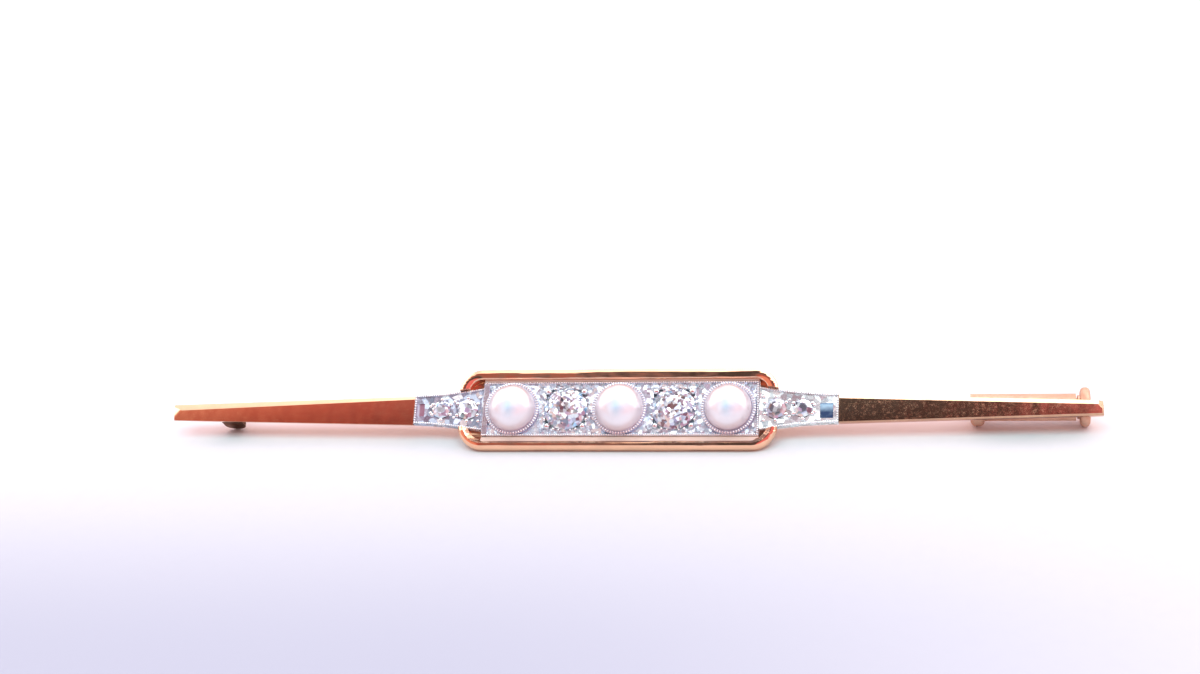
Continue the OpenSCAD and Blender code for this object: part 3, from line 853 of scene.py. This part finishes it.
def make_rail(s, side):
    """One long rail of the surround with a quarter turn at each end."""
    tail, hair, straight_steps = 0.7, 0.001, 8
    half_straight = (s.rail_high - s.rail_low) / 2
    centre = Vector((
        -s.corner_x - s.corner_r, side * (s.corner_y - tail), (s.rail_low + s.rail_high) / 2
    ))
    only(None)
    bpy.ops.mesh.primitive_circle_add(
        vertices=40, radius=s.rail_r, location=centre, rotation=(math.radians(90), 0, 0)
    )
    rail = new_object("surround_rear" if side > 0 else "surround_front")
    with editing(rail, "VERT"):
        pick_points(rail, lambda p: p.z < centre.z - hair)
        move(0, 0, -half_straight)
        pick_points(rail, lambda p: p.z > centre.z + hair)
        if side > 0:
            # The rear wire was rolled wide and flat, and filed narrower outside
            flatter, inwards, longer = 0.58, 0.10, 1.018
            resize(1, 1, flatter, centre=centre)
            move(0, 0, half_straight + s.rail_r * (1 - flatter))
            for way, wider in ((-1, 0.78), (1, 1.17)):
                pick_points(rail, lambda p: (p.x - centre.x) * way > hair)
                resize(wider, 1, 1, centre=centre)
        else:
            # The front wire has a broad filed slope on its outer side and a steep one inside
            inwards, longer = 0.02, 1
            move(0, 0, half_straight)
            for degrees, depth in ((48.7, 0.35), (-42, 0.29)):
                slope = math.radians(degrees)
                out = Vector((-math.sin(slope), 0, math.cos(slope)))
                pick_all()
                bpy.ops.mesh.bisect(
                    plane_co=centre + Vector((0, 0, half_straight)) + out * depth, plane_no=out,
                    clear_outer=True,
                )
                points = bmesh.from_edit_mesh(rail.data).verts
                ends = [point.co.copy() for point in points if len(point.link_edges) == 1]
                pick_points(rail, lambda p: p in ends)
                bpy.ops.mesh.edge_face_add()
        pick_all()
        move(inwards, 0, 0)
        # The wire's section runs round one corner, along the plaque and round the next
        corner = partial(bpy.ops.mesh.spin, steps=16, angle=side * math.pi / 2, axis=(0, 0, 1))
        extrude(0, side * tail, 0)
        corner(center=(-s.corner_x, side * s.corner_y, 0))
        for _ in range(straight_steps):
            extrude(2 * s.corner_x / straight_steps, 0, 0)
        corner(center=(s.corner_x, side * s.corner_y, 0))
        extrude(0, -side * tail, 0)
        pick_all()
        resize(longer, 1, 1)
        move(s.surround_shift, 0, 0)
    for way in SIDES:
        # The shoulder's edge falls outwards, and the rail ends along it
        edge = shoulder_edge(s, s.corner_x + s.corner_r, 0.04, way, side)
        slice_off(rail, *edge, part=lambda p, n: p.x * way > s.corner_x)
    with editing(rail, "VERT"):
        pick_all()
        bpy.ops.mesh.remove_doubles(threshold=0.0005)
        bpy.ops.mesh.normals_make_consistent(inside=False)
    smooth(rail, 20)
    return rail


class BROOCH_OT_surround(bpy.types.Operator):
    """Model the round-edged gold wire that frames the plaque"""

    bl_idname = "brooch.surround"
    bl_label = "Surround"

    def execute(self, context):
        s, c = sizes(), colours()
        for side in SIDES:
            # Painted shade: the front wire's inner slope gets the darker gold
            settle(make_rail(s, side), "gold", "gold_frame", c.rail_gold, (
                c.corner_gold,
                lambda p, n: side < 0 and 0.4 < n.y < 0.85 and 0.6 < n.z < 0.85,
            ))
        return {"FINISHED"}


def make_tray(s):
    """The stepped gold tray, with a pocket for the plaque and two holes below the diamonds."""
    ledge_w, shelf_w, base_w, culet_r = 2.6, 2.3, 1.7, 0.95
    ledge_top, ledge_bottom, shelf_drop, base_drop = -0.08, -0.6, -0.3, -0.6
    tray = block("tray", (-s.plaque_l, -ledge_w, ledge_bottom), (s.plaque_l, ledge_w, ledge_top))
    with editing(tray):
        pick_faces(tray, towards(0, 0, -1))
        for drop, narrow in ((shelf_drop, shelf_w / ledge_w), (base_drop, base_w / shelf_w)):
            extrude(0, 0, drop)
            resize(1, narrow, 1)
    pocket_l, pocket_w = s.plaque_l + GAP, s.plaque_w + GAP
    cut(tray, block("pocket", (-pocket_l, -pocket_w, s.tray_floor), (pocket_l, pocket_w, 1)))
    cut(tray, *(well(side * s.diamond_x, culet_r, 48, top=0) for side in SIDES))
    with editing(tray, "VERT"):
        # The ledge rises as a slope from the plaque's edge to the rails
        for way, rise in ((-1, 0.34), (1, 0.32)):
            pick_points(tray, lambda p: p.y * way > ledge_w - NEAR and p.z > ledge_top - NEAR)
            move(0, 0, rise)
    soften(tray, 0.04, degrees=25)
    return tray


def corner_floors(s):
    """Plates that close the surround's four corners beside the shoulders."""
    plates = []
    for side, way in product(SIDES, repeat=2):
        x, y = side * s.corner_x + s.surround_shift, way * s.corner_y
        plate = rod("corner_floor", (x, y, -0.6), (x, y, -0.4), s.corner_r, 64)
        slice_off(plate, (side * (s.plaque_l + GAP), 0, 0), (-side, 0, 0))
        slice_off(plate, *shoulder_edge(s, s.corner_x + s.corner_r * 0.7, GAP, side, way))
        plates.append(plate)
    return join("corner_floors", plates)


def shoulder_bar(s, side):
    """The bar under a shoulder, which narrows with it and runs on under the arm."""
    inset, run, bottom, steps, far = 0.28, 1.2, -1.15, 8, 30
    ends = s.plaque_l + 0.05, s.arm_start + run
    levels = bottom, s.arm_top - s.shoulder_thick - GAP
    bar = strip(
        f"shoulder_bar_{SIDES[side]}", side, ends, levels, steps,
        lambda x: (flare(s, x) if x < s.arm_start else arm_half_w(s, x)) - inset,
    )
    # What would stand inside the arm is cut away
    room = (side * s.arm_start, -2, s.arm_bottom - 0.01), (side * far, 2, 1)
    cut(bar, block("arm_room", *room))
    soften(bar, 0.05, degrees=25)
    return bar


class BROOCH_OT_tray(bpy.types.Operator):
    """Model the gold tray under the plaque and the bars under the shoulders"""

    bl_idname = "brooch.tray"
    bl_label = "Tray"

    def execute(self, context):
        s, c = sizes(), colours()
        underside = c.back_gold, lambda p, n: p.z < -0.62
        # The ledge gets the lighter gold as painted light
        settle(make_tray(s), "gold", "gold_frame", c.ledge_gold, underside)
        # The corner plates get the darker gold as painted shade
        settle(corner_floors(s), "gold", "gold_frame", c.corner_gold)
        for side in SIDES:
            settle(shoulder_bar(s, side), "gold", "gold_frame", c.back_gold)
        return {"FINISHED"}


def make_plaque(s):
    """The plate with its raised rim, pearl pockets and square recesses."""
    plate = block(
        "plaque_plate", (-s.plaque_l, -s.plaque_w, -s.plaque_thick), (s.plaque_l, s.plaque_w, 0)
    )
    with editing(plate):
        pick_faces(plate, towards(0, 0, 1))
        bpy.ops.mesh.inset(thickness=s.rim_w, depth=-s.rim_h)
    pocket_r, seat_r = s.pearl_r + 0.04, s.diamond_r * 0.85
    cut(plate, *(well(k * s.pearl_pitch, pocket_r, 96) for k in (-1, 0, 1)))
    half, narrower = s.recess_side / 2, 0.86
    for side in SIDES:
        x = side * s.diamond_x
        recess = block("recess", (x - half, -half, -s.recess_depth), (x + half, half, 1))
        with editing(recess):
            pick_faces(recess, towards(0, 0, -1))
            resize(narrower, narrower, 1, centre=(x, 0, 0))
        cut(plate, recess, well(x, seat_r, 64))
    soften(plate, 0.02)
    return plate


def make_collet(s, k, name):
    """A round band about a pearl, with rounded edges."""
    x, sides = k * s.pearl_pitch, 96
    band = rod(name, (x, 0, -0.4), (x, 0, s.collet_h), s.collet_r, sides)
    cut(band, well(x, s.pearl_r + 0.02, sides))
    soften(band, 0.05, degrees=60)
    return band


def end_band(s):
    """The smooth band across the plaque's left end."""
    end, width, bottom, top = -s.plaque_l, 0.42, -0.3, 0.02
    band = block("end_band", (end, -s.plaque_w, bottom), (end + width, s.plaque_w, top))
    soften(band, 0.04)
    return band


def bright_cuts(s):
    """Raised three-sided cuts between the collets, the diamonds' corners and the ends."""
    only(None)
    bpy.ops.mesh.primitive_cone_add(
        vertices=3, radius1=1, radius2=0, depth=1, location=(0, 0, 0.5)
    )
    wedge = new_object("wedge")
    large, small, last = (0.36, 0.26, 0.17), (0.22, 0.12, 0.12), (0.34, 0.24, 0.16)
    z, places = -s.rim_h - 0.02, []
    for side, way, row in product(SIDES, repeat=3):
        x, turn = side * s.diamond_x + way * 1.72, math.atan2(-row, -way)
        places.append(at(x, row * 1.62, z, large, turn))
        places.append(at(x - way * 0.62, row * 1.78, z, small, turn + way * 0.6))
    for side, row in product(SIDES, repeat=2):
        turn = math.atan2(-row, -side)
        places.append(at(side * (s.plaque_l - 0.45), row * 1.55, z, last, turn))
    cuts = scatter("bright_cuts", wedge, places)
    smooth(cuts, 5)
    return cuts


def setting_beads(s):
    """Round beads that hold the two large diamonds."""
    # Turn from the diagonal in degrees, distance from the stone's middle, height and radius
    beads = (
        (0, 1.86, -0.1, 0.26), (17, 1.74, -0.06, 0.13), (-17, 1.74, -0.06, 0.13),
        (30, 1.66, -0.06, 0.1), (-30, 1.66, -0.06, 0.1),
    )
    return scatter("setting_beads", grain_bead(), [
        at(x, y, z, size, turn)
        for side, (step, radius, z, size) in product(SIDES, beads)
        for x, y, turn in ring(side * s.diamond_x, radius, 4, 45 + step)
    ])


def rim_grain(s):
    """Millegrain along the plaque's rim, but for its smooth left end."""
    start_x, end_x, edge_y = s.plaque_l - 0.1, s.plaque_l - 0.09, s.plaque_w - 0.085
    z, size = -0.01, 0.082
    along = product(spaced(-start_x, start_x, s.grain_pitch), SIDES)
    places = [at(x, way * edge_y, z, size) for x, way in along]
    places += [at(end_x, y, z, size) for y in spaced(-edge_y, edge_y, s.grain_pitch)[1:-1]]
    return scatter("rim_grain", grain_bead(), places)


def collet_grain(s):
    """Long teeth round the three collets."""
    radius = (s.collet_r + s.pearl_r) / 2 + 0.03
    count = int(math.tau * radius / s.teeth_pitch)
    return scatter("collet_grain", grain_bead(2.3), [
        at(x, y, s.collet_h - 0.02, 0.062, turn)
        for k in (-1, 0, 1) for x, y, turn in ring(k * s.pearl_pitch, radius, count)
    ])


class BROOCH_OT_plaque(bpy.types.Operator):
    """Model the platinum plaque with its collets, beads and millegrain"""

    bl_idname = "brooch.plaque"
    bl_label = "Plaque"

    def execute(self, context):
        s, c = sizes(), colours()
        rim = c.plain_platinum, lambda p, n: p.z > -0.05 and n.z > 0.8
        # The plaque's side walls get the lighter ledge gold as painted light
        wall = c.ledge_gold, lambda p, n: abs(n.z) < 0.5 and abs(p.y) > s.plaque_w - 0.02
        collets = ((-1, "collet_left"), (0, "collet_centre"), (1, "collet_right"))
        for piece, *materials in (
            (make_plaque(s), c.cut_platinum, rim, wall),
            *((make_collet(s, k, name), c.collet_platinum) for k, name in collets),
            (end_band(s), c.plain_platinum),
            (bright_cuts(s), c.cut_platinum),
            (setting_beads(s), c.grain_platinum),
            (rim_grain(s), c.grain_platinum),
            (collet_grain(s), c.grain_platinum),
        ):
            settle(piece, "platinum", "plaque", *materials)
        return {"FINISHED"}


def make_shoulder(s, side):
    """A flared plate with a rim, two stone seats and a sunk square at its outer end."""
    low, high, steps = s.arm_top - s.shoulder_thick, s.arm_top, 12
    ends = s.plaque_l + GAP, seam(s, side) - 0.02
    plate = strip(
        f"shoulder_{SIDES[side]}", side, ends, (low, high), steps, partial(flare, s)
    )
    with editing(plate):
        pick_faces(plate, towards(0, 0, 1))
        bpy.ops.mesh.inset(thickness=0.15, depth=-0.09)
    cut(plate, *(well(side * x, r * 0.97, 48) for x, r in s.small_stones))
    sunk = high - 0.2
    square = (
        ((-15.05, -0.48, sunk), (-14.5, 0.46, 1)) if side < 0
        else ((14.42, -0.72, sunk), (15.34, 0.40, 1))
    )
    cut(plate, block("square", *square))
    soften(plate, 0.015)
    return plate


def shoulder_grain(s, side):
    """Millegrain along a shoulder's long edges and outer end, and beads round its stones."""
    x0, x1 = s.plaque_l + 0.1, seam(s, side) - 0.1
    end_y, z, bead_z = flare(s, x1) - 0.1, s.arm_top - 0.01, s.arm_top - 0.1
    edge_r, end_r, bead_r, loose_r = 0.075, 0.07, 0.17, 0.15
    places = [
        at(side * x, way * (flare(s, x) - edge_r), z, edge_r)
        for x, way in product(spaced(x0, x1, s.grain_pitch), SIDES)
    ]
    places += [at(side * x1, y, z, end_r) for y in spaced(-end_y, end_y, s.grain_pitch)[1:-1]]
    for stone_x, stone_r in s.small_stones:
        round_stone = ring(side * stone_x, stone_r + 0.08, 6, 30)
        places += [at(x, y, bead_z, bead_r) for x, y, _ in round_stone]
    loose = (12.25, 0.62), (14.02, 0.25), (10.4, 0.9)
    places += [at(side * x, way * y, bead_z, loose_r) for (x, y), way in product(loose, SIDES)]
    return scatter(f"shoulder_grain_{SIDES[side]}", grain_bead(), places)


class BROOCH_OT_shoulders(bpy.types.Operator):
    """Model the two flared platinum shoulders with their beads"""

    bl_idname = "brooch.shoulders"
    bl_label = "Shoulders"

    def execute(self, context):
        s, c = sizes(), colours()
        for side, node, face, square in (
            (-1, "left_shoulder", c.shoulder_left, c.square_left),
            (1, "right_shoulder", c.shoulder_right, c.square_right),
        ):
            top, square_x = s.arm_top, 14.3
            rim = c.plain_platinum, lambda p, n: p.z > top - 0.03 and n.z > 0.8
            sunk = square, lambda p, n: abs(p.x) > square_x and top - 0.25 < p.z < top - 0.12
            settle(make_shoulder(s, side), "platinum", node, face, rim, sunk)
            settle(shoulder_grain(s, side), "platinum", node, c.grain_platinum)
        return {"FINISHED"}


class BROOCH_OT_pearls(bpy.types.Operator):
    """Model the three button pearls"""

    bl_idname = "brooch.pearls"
    bl_label = "Pearls"

    def execute(self, context):
        s, c = sizes(), colours()
        for k, name, bulge in ((-1, "left", 1.03), (0, "centre", 1.05), (1, "right", 1.01)):
            x = k * s.pearl_pitch
            only(None)
            bpy.ops.mesh.primitive_uv_sphere_add(
                segments=64, ring_count=48, radius=s.pearl_r, location=(x, 0, s.pearl_z)
            )
            pearl = new_object(f"nacre_{name}")
            # Each pearl bulges a little over its collet
            with editing(pearl, "VERT"):
                pick_all()
                resize(bulge, bulge, 1, centre=(x, 0, 0))
            slice_off(pearl, (0, 0, s.tray_floor + GAP), (0, 0, -1))
            smooth(pearl, 40)
            settle(pearl, "pearl", f"pearl_{name}", c.nacre)
            bpy.data.collections["pearls"].objects.link(pearl)
        return {"FINISHED"}


class BROOCH_OT_diamonds(bpy.types.Operator):
    """Dress the two large and four small diamonds"""

    bl_idname = "brooch.diamonds"
    bl_label = "Diamonds"

    def execute(self, context):
        c = colours()
        small = {"inner": c.diamond_inner, "outer": c.diamond_outer}
        for name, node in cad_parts.items():
            if name.startswith("diamond"):
                paint(node, small.get(name.split("_")[-1], c.diamond_large))
        return {"FINISHED"}


def make_hinge(s):
    """Two lugs on their feet under the left arm, with the rivet's rounded ends."""
    x, z, foot_r = -s.hinge_x, s.sleeve_z, s.hinge_r * 0.98
    front, rear = s.hinge_front, s.hinge_front + s.hinge_w
    lug_w, proud = (s.hinge_w - s.knuckle_w) / 2 - 0.04, 0.02
    parts = []
    for y in (front, rear - lug_w):
        lug = rod("lug", (x, y, z), (x, y + lug_w, z), s.hinge_r)
        weld(lug, block("foot", (x - foot_r, y, z), (x + foot_r, y + lug_w, s.arm_bottom)))
        soften(lug, 0.03)
        parts.append(lug)
    rivet = rod("rivet", (x, front - proud, z), (x, rear + proud, z), 0.26, 32)
    soften(rivet, 0.02)
    return join("hinge", [*parts, rivet])


def catch_rod(s, name, x0, x1, radius, sides=48):
    """A round piece on the catch's axis."""
    return rod(name, (x0, s.sleeve_y, s.sleeve_z), (x1, s.sleeve_y, s.sleeve_z), radius, sides)


def make_sleeve(s):
    """The fixed tube of the catch, slotted below, with its foot and the lip at its mouth."""
    y, z, mouth = s.sleeve_y, s.sleeve_z, s.sleeve_mouth
    sleeve = catch_rod(s, "catch_sleeve", mouth, s.sleeve_end, s.sleeve_r, 64)
    foot_start, foot_end, foot_front, foot_rear = mouth + 1.6, mouth + 5.8, y - 0.9, y - 0.15
    foot = block("foot", (foot_start, foot_front, z), (foot_end, foot_rear, s.arm_bottom))
    lip = catch_rod(s, "lip", mouth, mouth + 1, s.lip_r, 64)
    soften(lip, 0.4, segments=6)
    # The lip keeps only its lower front part
    for degrees in (30, 60):
        slope = math.radians(degrees)
        slice_off(lip, (0, y, z), (0, math.cos(slope), math.sin(slope)))
    weld(sleeve, foot, lip)
    cut(sleeve, catch_rod(s, "bore", mouth - 1, s.sleeve_end + 1, s.sleeve_bore, 64))
    slot_w = s.pin_r + 0.05
    slot = (mouth - 1, y - slot_w, z - 3), (s.pin_point + 0.5, y + slot_w, z)
    cut(sleeve, block("slot", *slot))
    soften(sleeve, 0.04)
    return sleeve


def make_pin(s):
    """The plain pin with its knuckle and its tapered point."""
    x, y, z, half = -s.hinge_x, s.hinge_y, s.sleeve_z, s.knuckle_w / 2
    knuckle_r, bore_r, taper_l, point_r = s.hinge_r - 0.08, 0.31, 2.0, 0.04
    knuckle = rod("knuckle", (x, y - half, z), (x, y + half, z), knuckle_r)
    cut(knuckle, rod("bore", (x, -5, z), (x, 5, z), bore_r, 32))
    base, point = Vector((x + knuckle_r * 0.8, y, z)), Vector((s.pin_point, s.sleeve_y, z))
    neck = point - (point - base).normalized() * taper_l
    stem = rod("stem", base, neck, s.pin_r, 32)
    taper = rod("taper", neck, point, s.pin_r, 32, point_r)
    pin = join("pin", [knuckle, stem, taper])
    smooth(pin, 40)
    return pin


def make_slide(s):
    """The sliding tube with its round knob, and a collar between the knob and the sleeve."""
    x = s.knob_x
    tube = catch_rod(s, "slide", s.sleeve_mouth + 0.4, x + s.knob_l / 2, s.sleeve_bore - 0.05)
    cut(tube, catch_rod(s, "bore", s.sleeve_mouth - 1, s.sleeve_end - 1, s.pin_r + 0.1))
    collar = catch_rod(s, "collar", x - 0.18, x + 0.1, 0.84)
    for part in (tube, collar):
        soften(part, 0.03)
    knob = catch_rod(s, "knob", x, x + s.knob_l, s.knob_r, 64)
    soften(knob, 0.32, segments=8)
    return join("catch_knob", [tube, collar, knob])


class BROOCH_OT_fittings(bpy.types.Operator):
    """Model the hinge, the pin and the tube catch at the back"""

    bl_idname = "brooch.fittings"
    bl_label = "Pin and catch"

    def execute(self, context):
        s, c = sizes(), colours()
        for make, material, node, body in (
            (make_hinge, c.hinge_gold, "gold_frame", "brooch"),
            (make_sleeve, c.catch_gold, "gold_frame", "brooch"),
            (make_pin, c.back_gold, "pin_stem", "brooch"),
            (make_slide, c.catch_gold, "catch_slide", "catch"),
        ):
            settle(make(s), "gold", node, material, body=body)
        return {"FINISHED"}


# Stage


def floor_material():
    """Pale surface with a faint grain, and painted shade that turns it a little lavender towards
    the near left.
    """
    f = bpy.context.scene.brooch_finish
    n = Finish("pale_floor")
    place = n.add("TexCoord", out="Object")
    x, y, _ = n.axes(place)
    # Painted shade: darker and lavender towards the near left
    near, left = (
        n.spread(axis, 1.0, 0.0, start, end, interpolation_type="SMOOTHSTEP")
        for axis, start, end in ((y, -0.031, 0.008), (x, -0.010, 0.090))
    )
    tone = n.mix(n.number("MULTIPLY", near, left), f.floor, f.floor_shade)
    grain = n.spread(n.noise(place, 900.0, 2.0), 0.0, 0.06, 0.45, 0.8)
    tone = n.mix(grain, tone, f.floor_shade)
    return n.done(Base_Color=tone, Roughness=0.9, Specular_IOR_Level=0.2)


def world_light():
    """Soft surroundings: a bright ceiling from the zenith back, and a dim room before the face."""
    world = bpy.data.worlds.new("studio")
    bpy.context.scene.world = world
    world.use_nodes = True
    world.node_tree.nodes.clear()
    n = Nodes(world.node_tree)
    x, y, z = n.axes(n.add("TexCoord", out="Generated"))
    height = n.number("ARCTAN2", z, n.number("MULTIPLY", y, -1))

    def ramp(value, reach, span, *stops):
        """Colours along a value from -reach to reach, by the stops' places in a span round 0."""
        share = n.spread(value, 0.0, 1.0, -reach, reach)
        return n.ramp(share, *((0.5 + place / span, colour) for place, colour in stops))

    # Degrees run from the front horizon at 0 over the zenith at 90 to the rear one at 180
    by_height = partial(ramp, height, math.pi, 360)
    wall, lit, unlit = (0.9, 0.86, 0.84), (1.0, 0.98, 0.97), (0.30, 0.28, 0.28)
    ceiling = by_height(
        (-180, wall), (-8, wall), (0, (0.3, 0.27, 0.27)), (71, (0.6, 0.55, 0.52)), (78, lit),
        (148, lit), (156, unlit), (180, (0.26, 0.24, 0.24)),
    )
    room = by_height(
        (-180, BLACK), (-3, BLACK), (4, WHITE), (70, WHITE), (74, BLACK), (180, BLACK)
    )
    soft_light = by_height(
        (-180, (0.80, 0.58, 0.60)), (0, (0.36, 0.263, 0.277)), (60, (0.58, 0.423, 0.447)),
        (90, (0.85, 0.62, 0.655)), (120, (1.0, 0.73, 0.77)), (180, (1.0, 0.73, 0.77)),
    )
    # What stands before the face is reddish on the left and nearly black on the right
    by_width = partial(ramp, x, 0.5, 1)
    dim = by_width(
        (-0.40, (0.94, 0.44, 0.36)), (-0.33, (0.63, 0.17, 0.14)), (-0.265, (0.42, 0.115, 0.115)),
        (-0.22, (0.42, 0.21, 0.19)), (-0.18, (0.30, 0.21, 0.22)), (-0.15, (0.19, 0.16, 0.19)),
        (-0.12, (0.08, 0.065, 0.07)), (-0.09, (0.085, 0.08, 0.085)), (-0.055, (0.15, 0.14, 0.16)),
        (-0.037, (0.07, 0.055, 0.06)), (-0.022, (0.135, 0.085, 0.085)),
        (0.02, (0.13, 0.085, 0.09)), (0.045, (0.07, 0.055, 0.065)), (0.056, (0.67, 0.23, 0.26)),
        (0.061, (0.92, 0.29, 0.34)), (0.1, (0.92, 0.28, 0.33)),
    )
    powers = (-0.5, 3.0), (-0.42, 1.4), (-0.34, 1.4), (-0.02, 3.4)
    glow = by_width(*((place, (power,) * 3) for place, power in powers))
    seen = n.add("Background", n.mix(room, n.vector("MULTIPLY", ceiling, glow), dim))
    fill = n.add("Background", soft_light, 1.5)
    backdrop = n.add("Background", (0.98, 0.98, 1.0))
    rays = n.add("LightPath").node.outputs
    soft = n.add("MixShader", rays["Is Diffuse Ray"], seen, fill)
    shown = n.add("MixShader", rays["Is Camera Ray"], soft, backdrop)
    n.feed(n.tree.nodes.new("ShaderNodeOutputWorld").inputs["Surface"], shown)
    world.cycles.sampling_method = "NONE"


def sky_point(distance, height, turn):
    """A point at a height and a turn to the right, in radians, as seen from the brooch."""
    return distance * Vector((
        math.sin(turn) * math.cos(height), -math.cos(turn) * math.cos(height), math.sin(height)
    ))


def area_light(name, distance, height, turn, wide, tall, power, colour, glossy):
    """An area light at a height and a turn in degrees, aimed at the brooch."""
    data = bpy.data.lights.new(name, "AREA")
    data.shape = "RECTANGLE"
    data.size, data.size_y = wide, tall
    data.energy, data.color = power, colour
    lamp = linked(name, data)
    lamp.location = sky_point(distance, math.radians(height), math.radians(turn))
    lamp.rotation_euler = (-lamp.location).to_track_quat("-Z", "Y").to_euler()
    lamp.visible_camera = False
    lamp.visible_glossy = lamp.visible_transmission = glossy
    return lamp


class BROOCH_OT_stage(bpy.types.Operator):
    """Set up the pale floor, the soft light and the camera"""

    bl_idname = "brooch.stage"
    bl_label = "Stage"

    def execute(self, context):
        only(None)
        bpy.ops.mesh.primitive_plane_add(size=3, location=(0, 0, 0))
        floor = new_object("floor")
        paint(floor, floor_material())
        world_light()
        area_light("key", 2.0, 58, 4, 2.2, 0.8, 27.0, (0.42, 0.92, 1.0), glossy=False)
        self.light_pearls()
        self.aim_camera(context.scene)
        context.scene.view_settings.view_transform = "Standard"
        return {"FINISHED"}

    def light_pearls(self):
        """Soft boxes that only the pearls see, round the dim place where the viewer stands."""
        pearls = bpy.data.collections.new("pearls")
        for name, height, turn, wide, tall, power in (
            ("box_above", 52, 8, 0.62, 0.26, 0.44),
            ("box_left", 26, -38, 0.20, 0.42, 0.16),
            ("box_right", 26, 52, 0.20, 0.42, 0.16),
            ("box_below", 6, 10, 0.60, 0.10, 0.09),
        ):
            lamp = area_light(
                name, 0.6, height, turn, wide, tall, power, (1.0, 0.97, 1.0), glossy=True
            )
            lamp.light_linking.receiver_collection = pearls

    def aim_camera(self, scene):
        """The camera at the photograph's angle."""
        view = scene.brooch_view
        back = sky_point(1, view.elevation, view.azimuth)
        level = Vector((math.cos(view.azimuth), math.sin(view.azimuth), 0))
        over = back.cross(level)
        sin_r, cos_r = math.sin(view.roll), math.cos(view.roll)
        right, up = cos_r * level + sin_r * over, cos_r * over - sin_r * level
        eye = back * view.distance + right * view.aim_x + up * view.aim_y
        data = bpy.data.cameras.new("camera")
        data.sensor_width, data.lens = 36, view.lens
        data.clip_start, data.clip_end = 0.001, 10
        scene.camera = linked("camera", data)
        turned = Matrix((right, up, back)).transposed().to_4x4()
        scene.camera.matrix_world = Matrix.Translation(eye) @ turned


class BROOCH_PT_sidebar(bpy.types.Panel):
    """Lists the steps that build the brooch"""

    bl_idname = "BROOCH_PT_sidebar"
    bl_label = "Bar Brooch"
    bl_space_type = "VIEW_3D"
    bl_region_type = "UI"
    bl_category = "Brooch"

    def draw(self, context):
        for operator in OPERATORS:
            self.layout.operator(operator.bl_idname)


OPERATORS = (
    BROOCH_OT_stage, BROOCH_OT_arms, BROOCH_OT_surround, BROOCH_OT_tray, BROOCH_OT_plaque,
    BROOCH_OT_shoulders, BROOCH_OT_pearls, BROOCH_OT_diamonds, BROOCH_OT_fittings,
)
GROUPS = {
    "brooch_sizes": BroochSizes, "brooch_finish": BroochFinish, "brooch_view": BroochView
}


def register():
    for group in GROUPS.values():
        bpy.utils.register_class(group)
    for name, group in GROUPS.items():
        setattr(bpy.types.Scene, name, PointerProperty(type=group))
    for operator in OPERATORS:
        bpy.utils.register_class(operator)
    bpy.utils.register_class(BROOCH_PT_sidebar)


def unregister():
    bpy.utils.unregister_class(BROOCH_PT_sidebar)
    for operator in reversed(OPERATORS):
        bpy.utils.unregister_class(operator)
    for name, group in GROUPS.items():
        delattr(bpy.types.Scene, name)
        bpy.utils.unregister_class(group)


def main():
    """Builds everything in order."""
    register()
    bpy.ops.brooch.stage()
    bpy.ops.brooch.arms()
    bpy.ops.brooch.surround()
    bpy.ops.brooch.tray()
    bpy.ops.brooch.plaque()
    bpy.ops.brooch.shoulders()
    bpy.ops.brooch.pearls()
    bpy.ops.brooch.diamonds()
    bpy.ops.brooch.fittings()
    only(None)


if __name__ == "__main__":
    main()
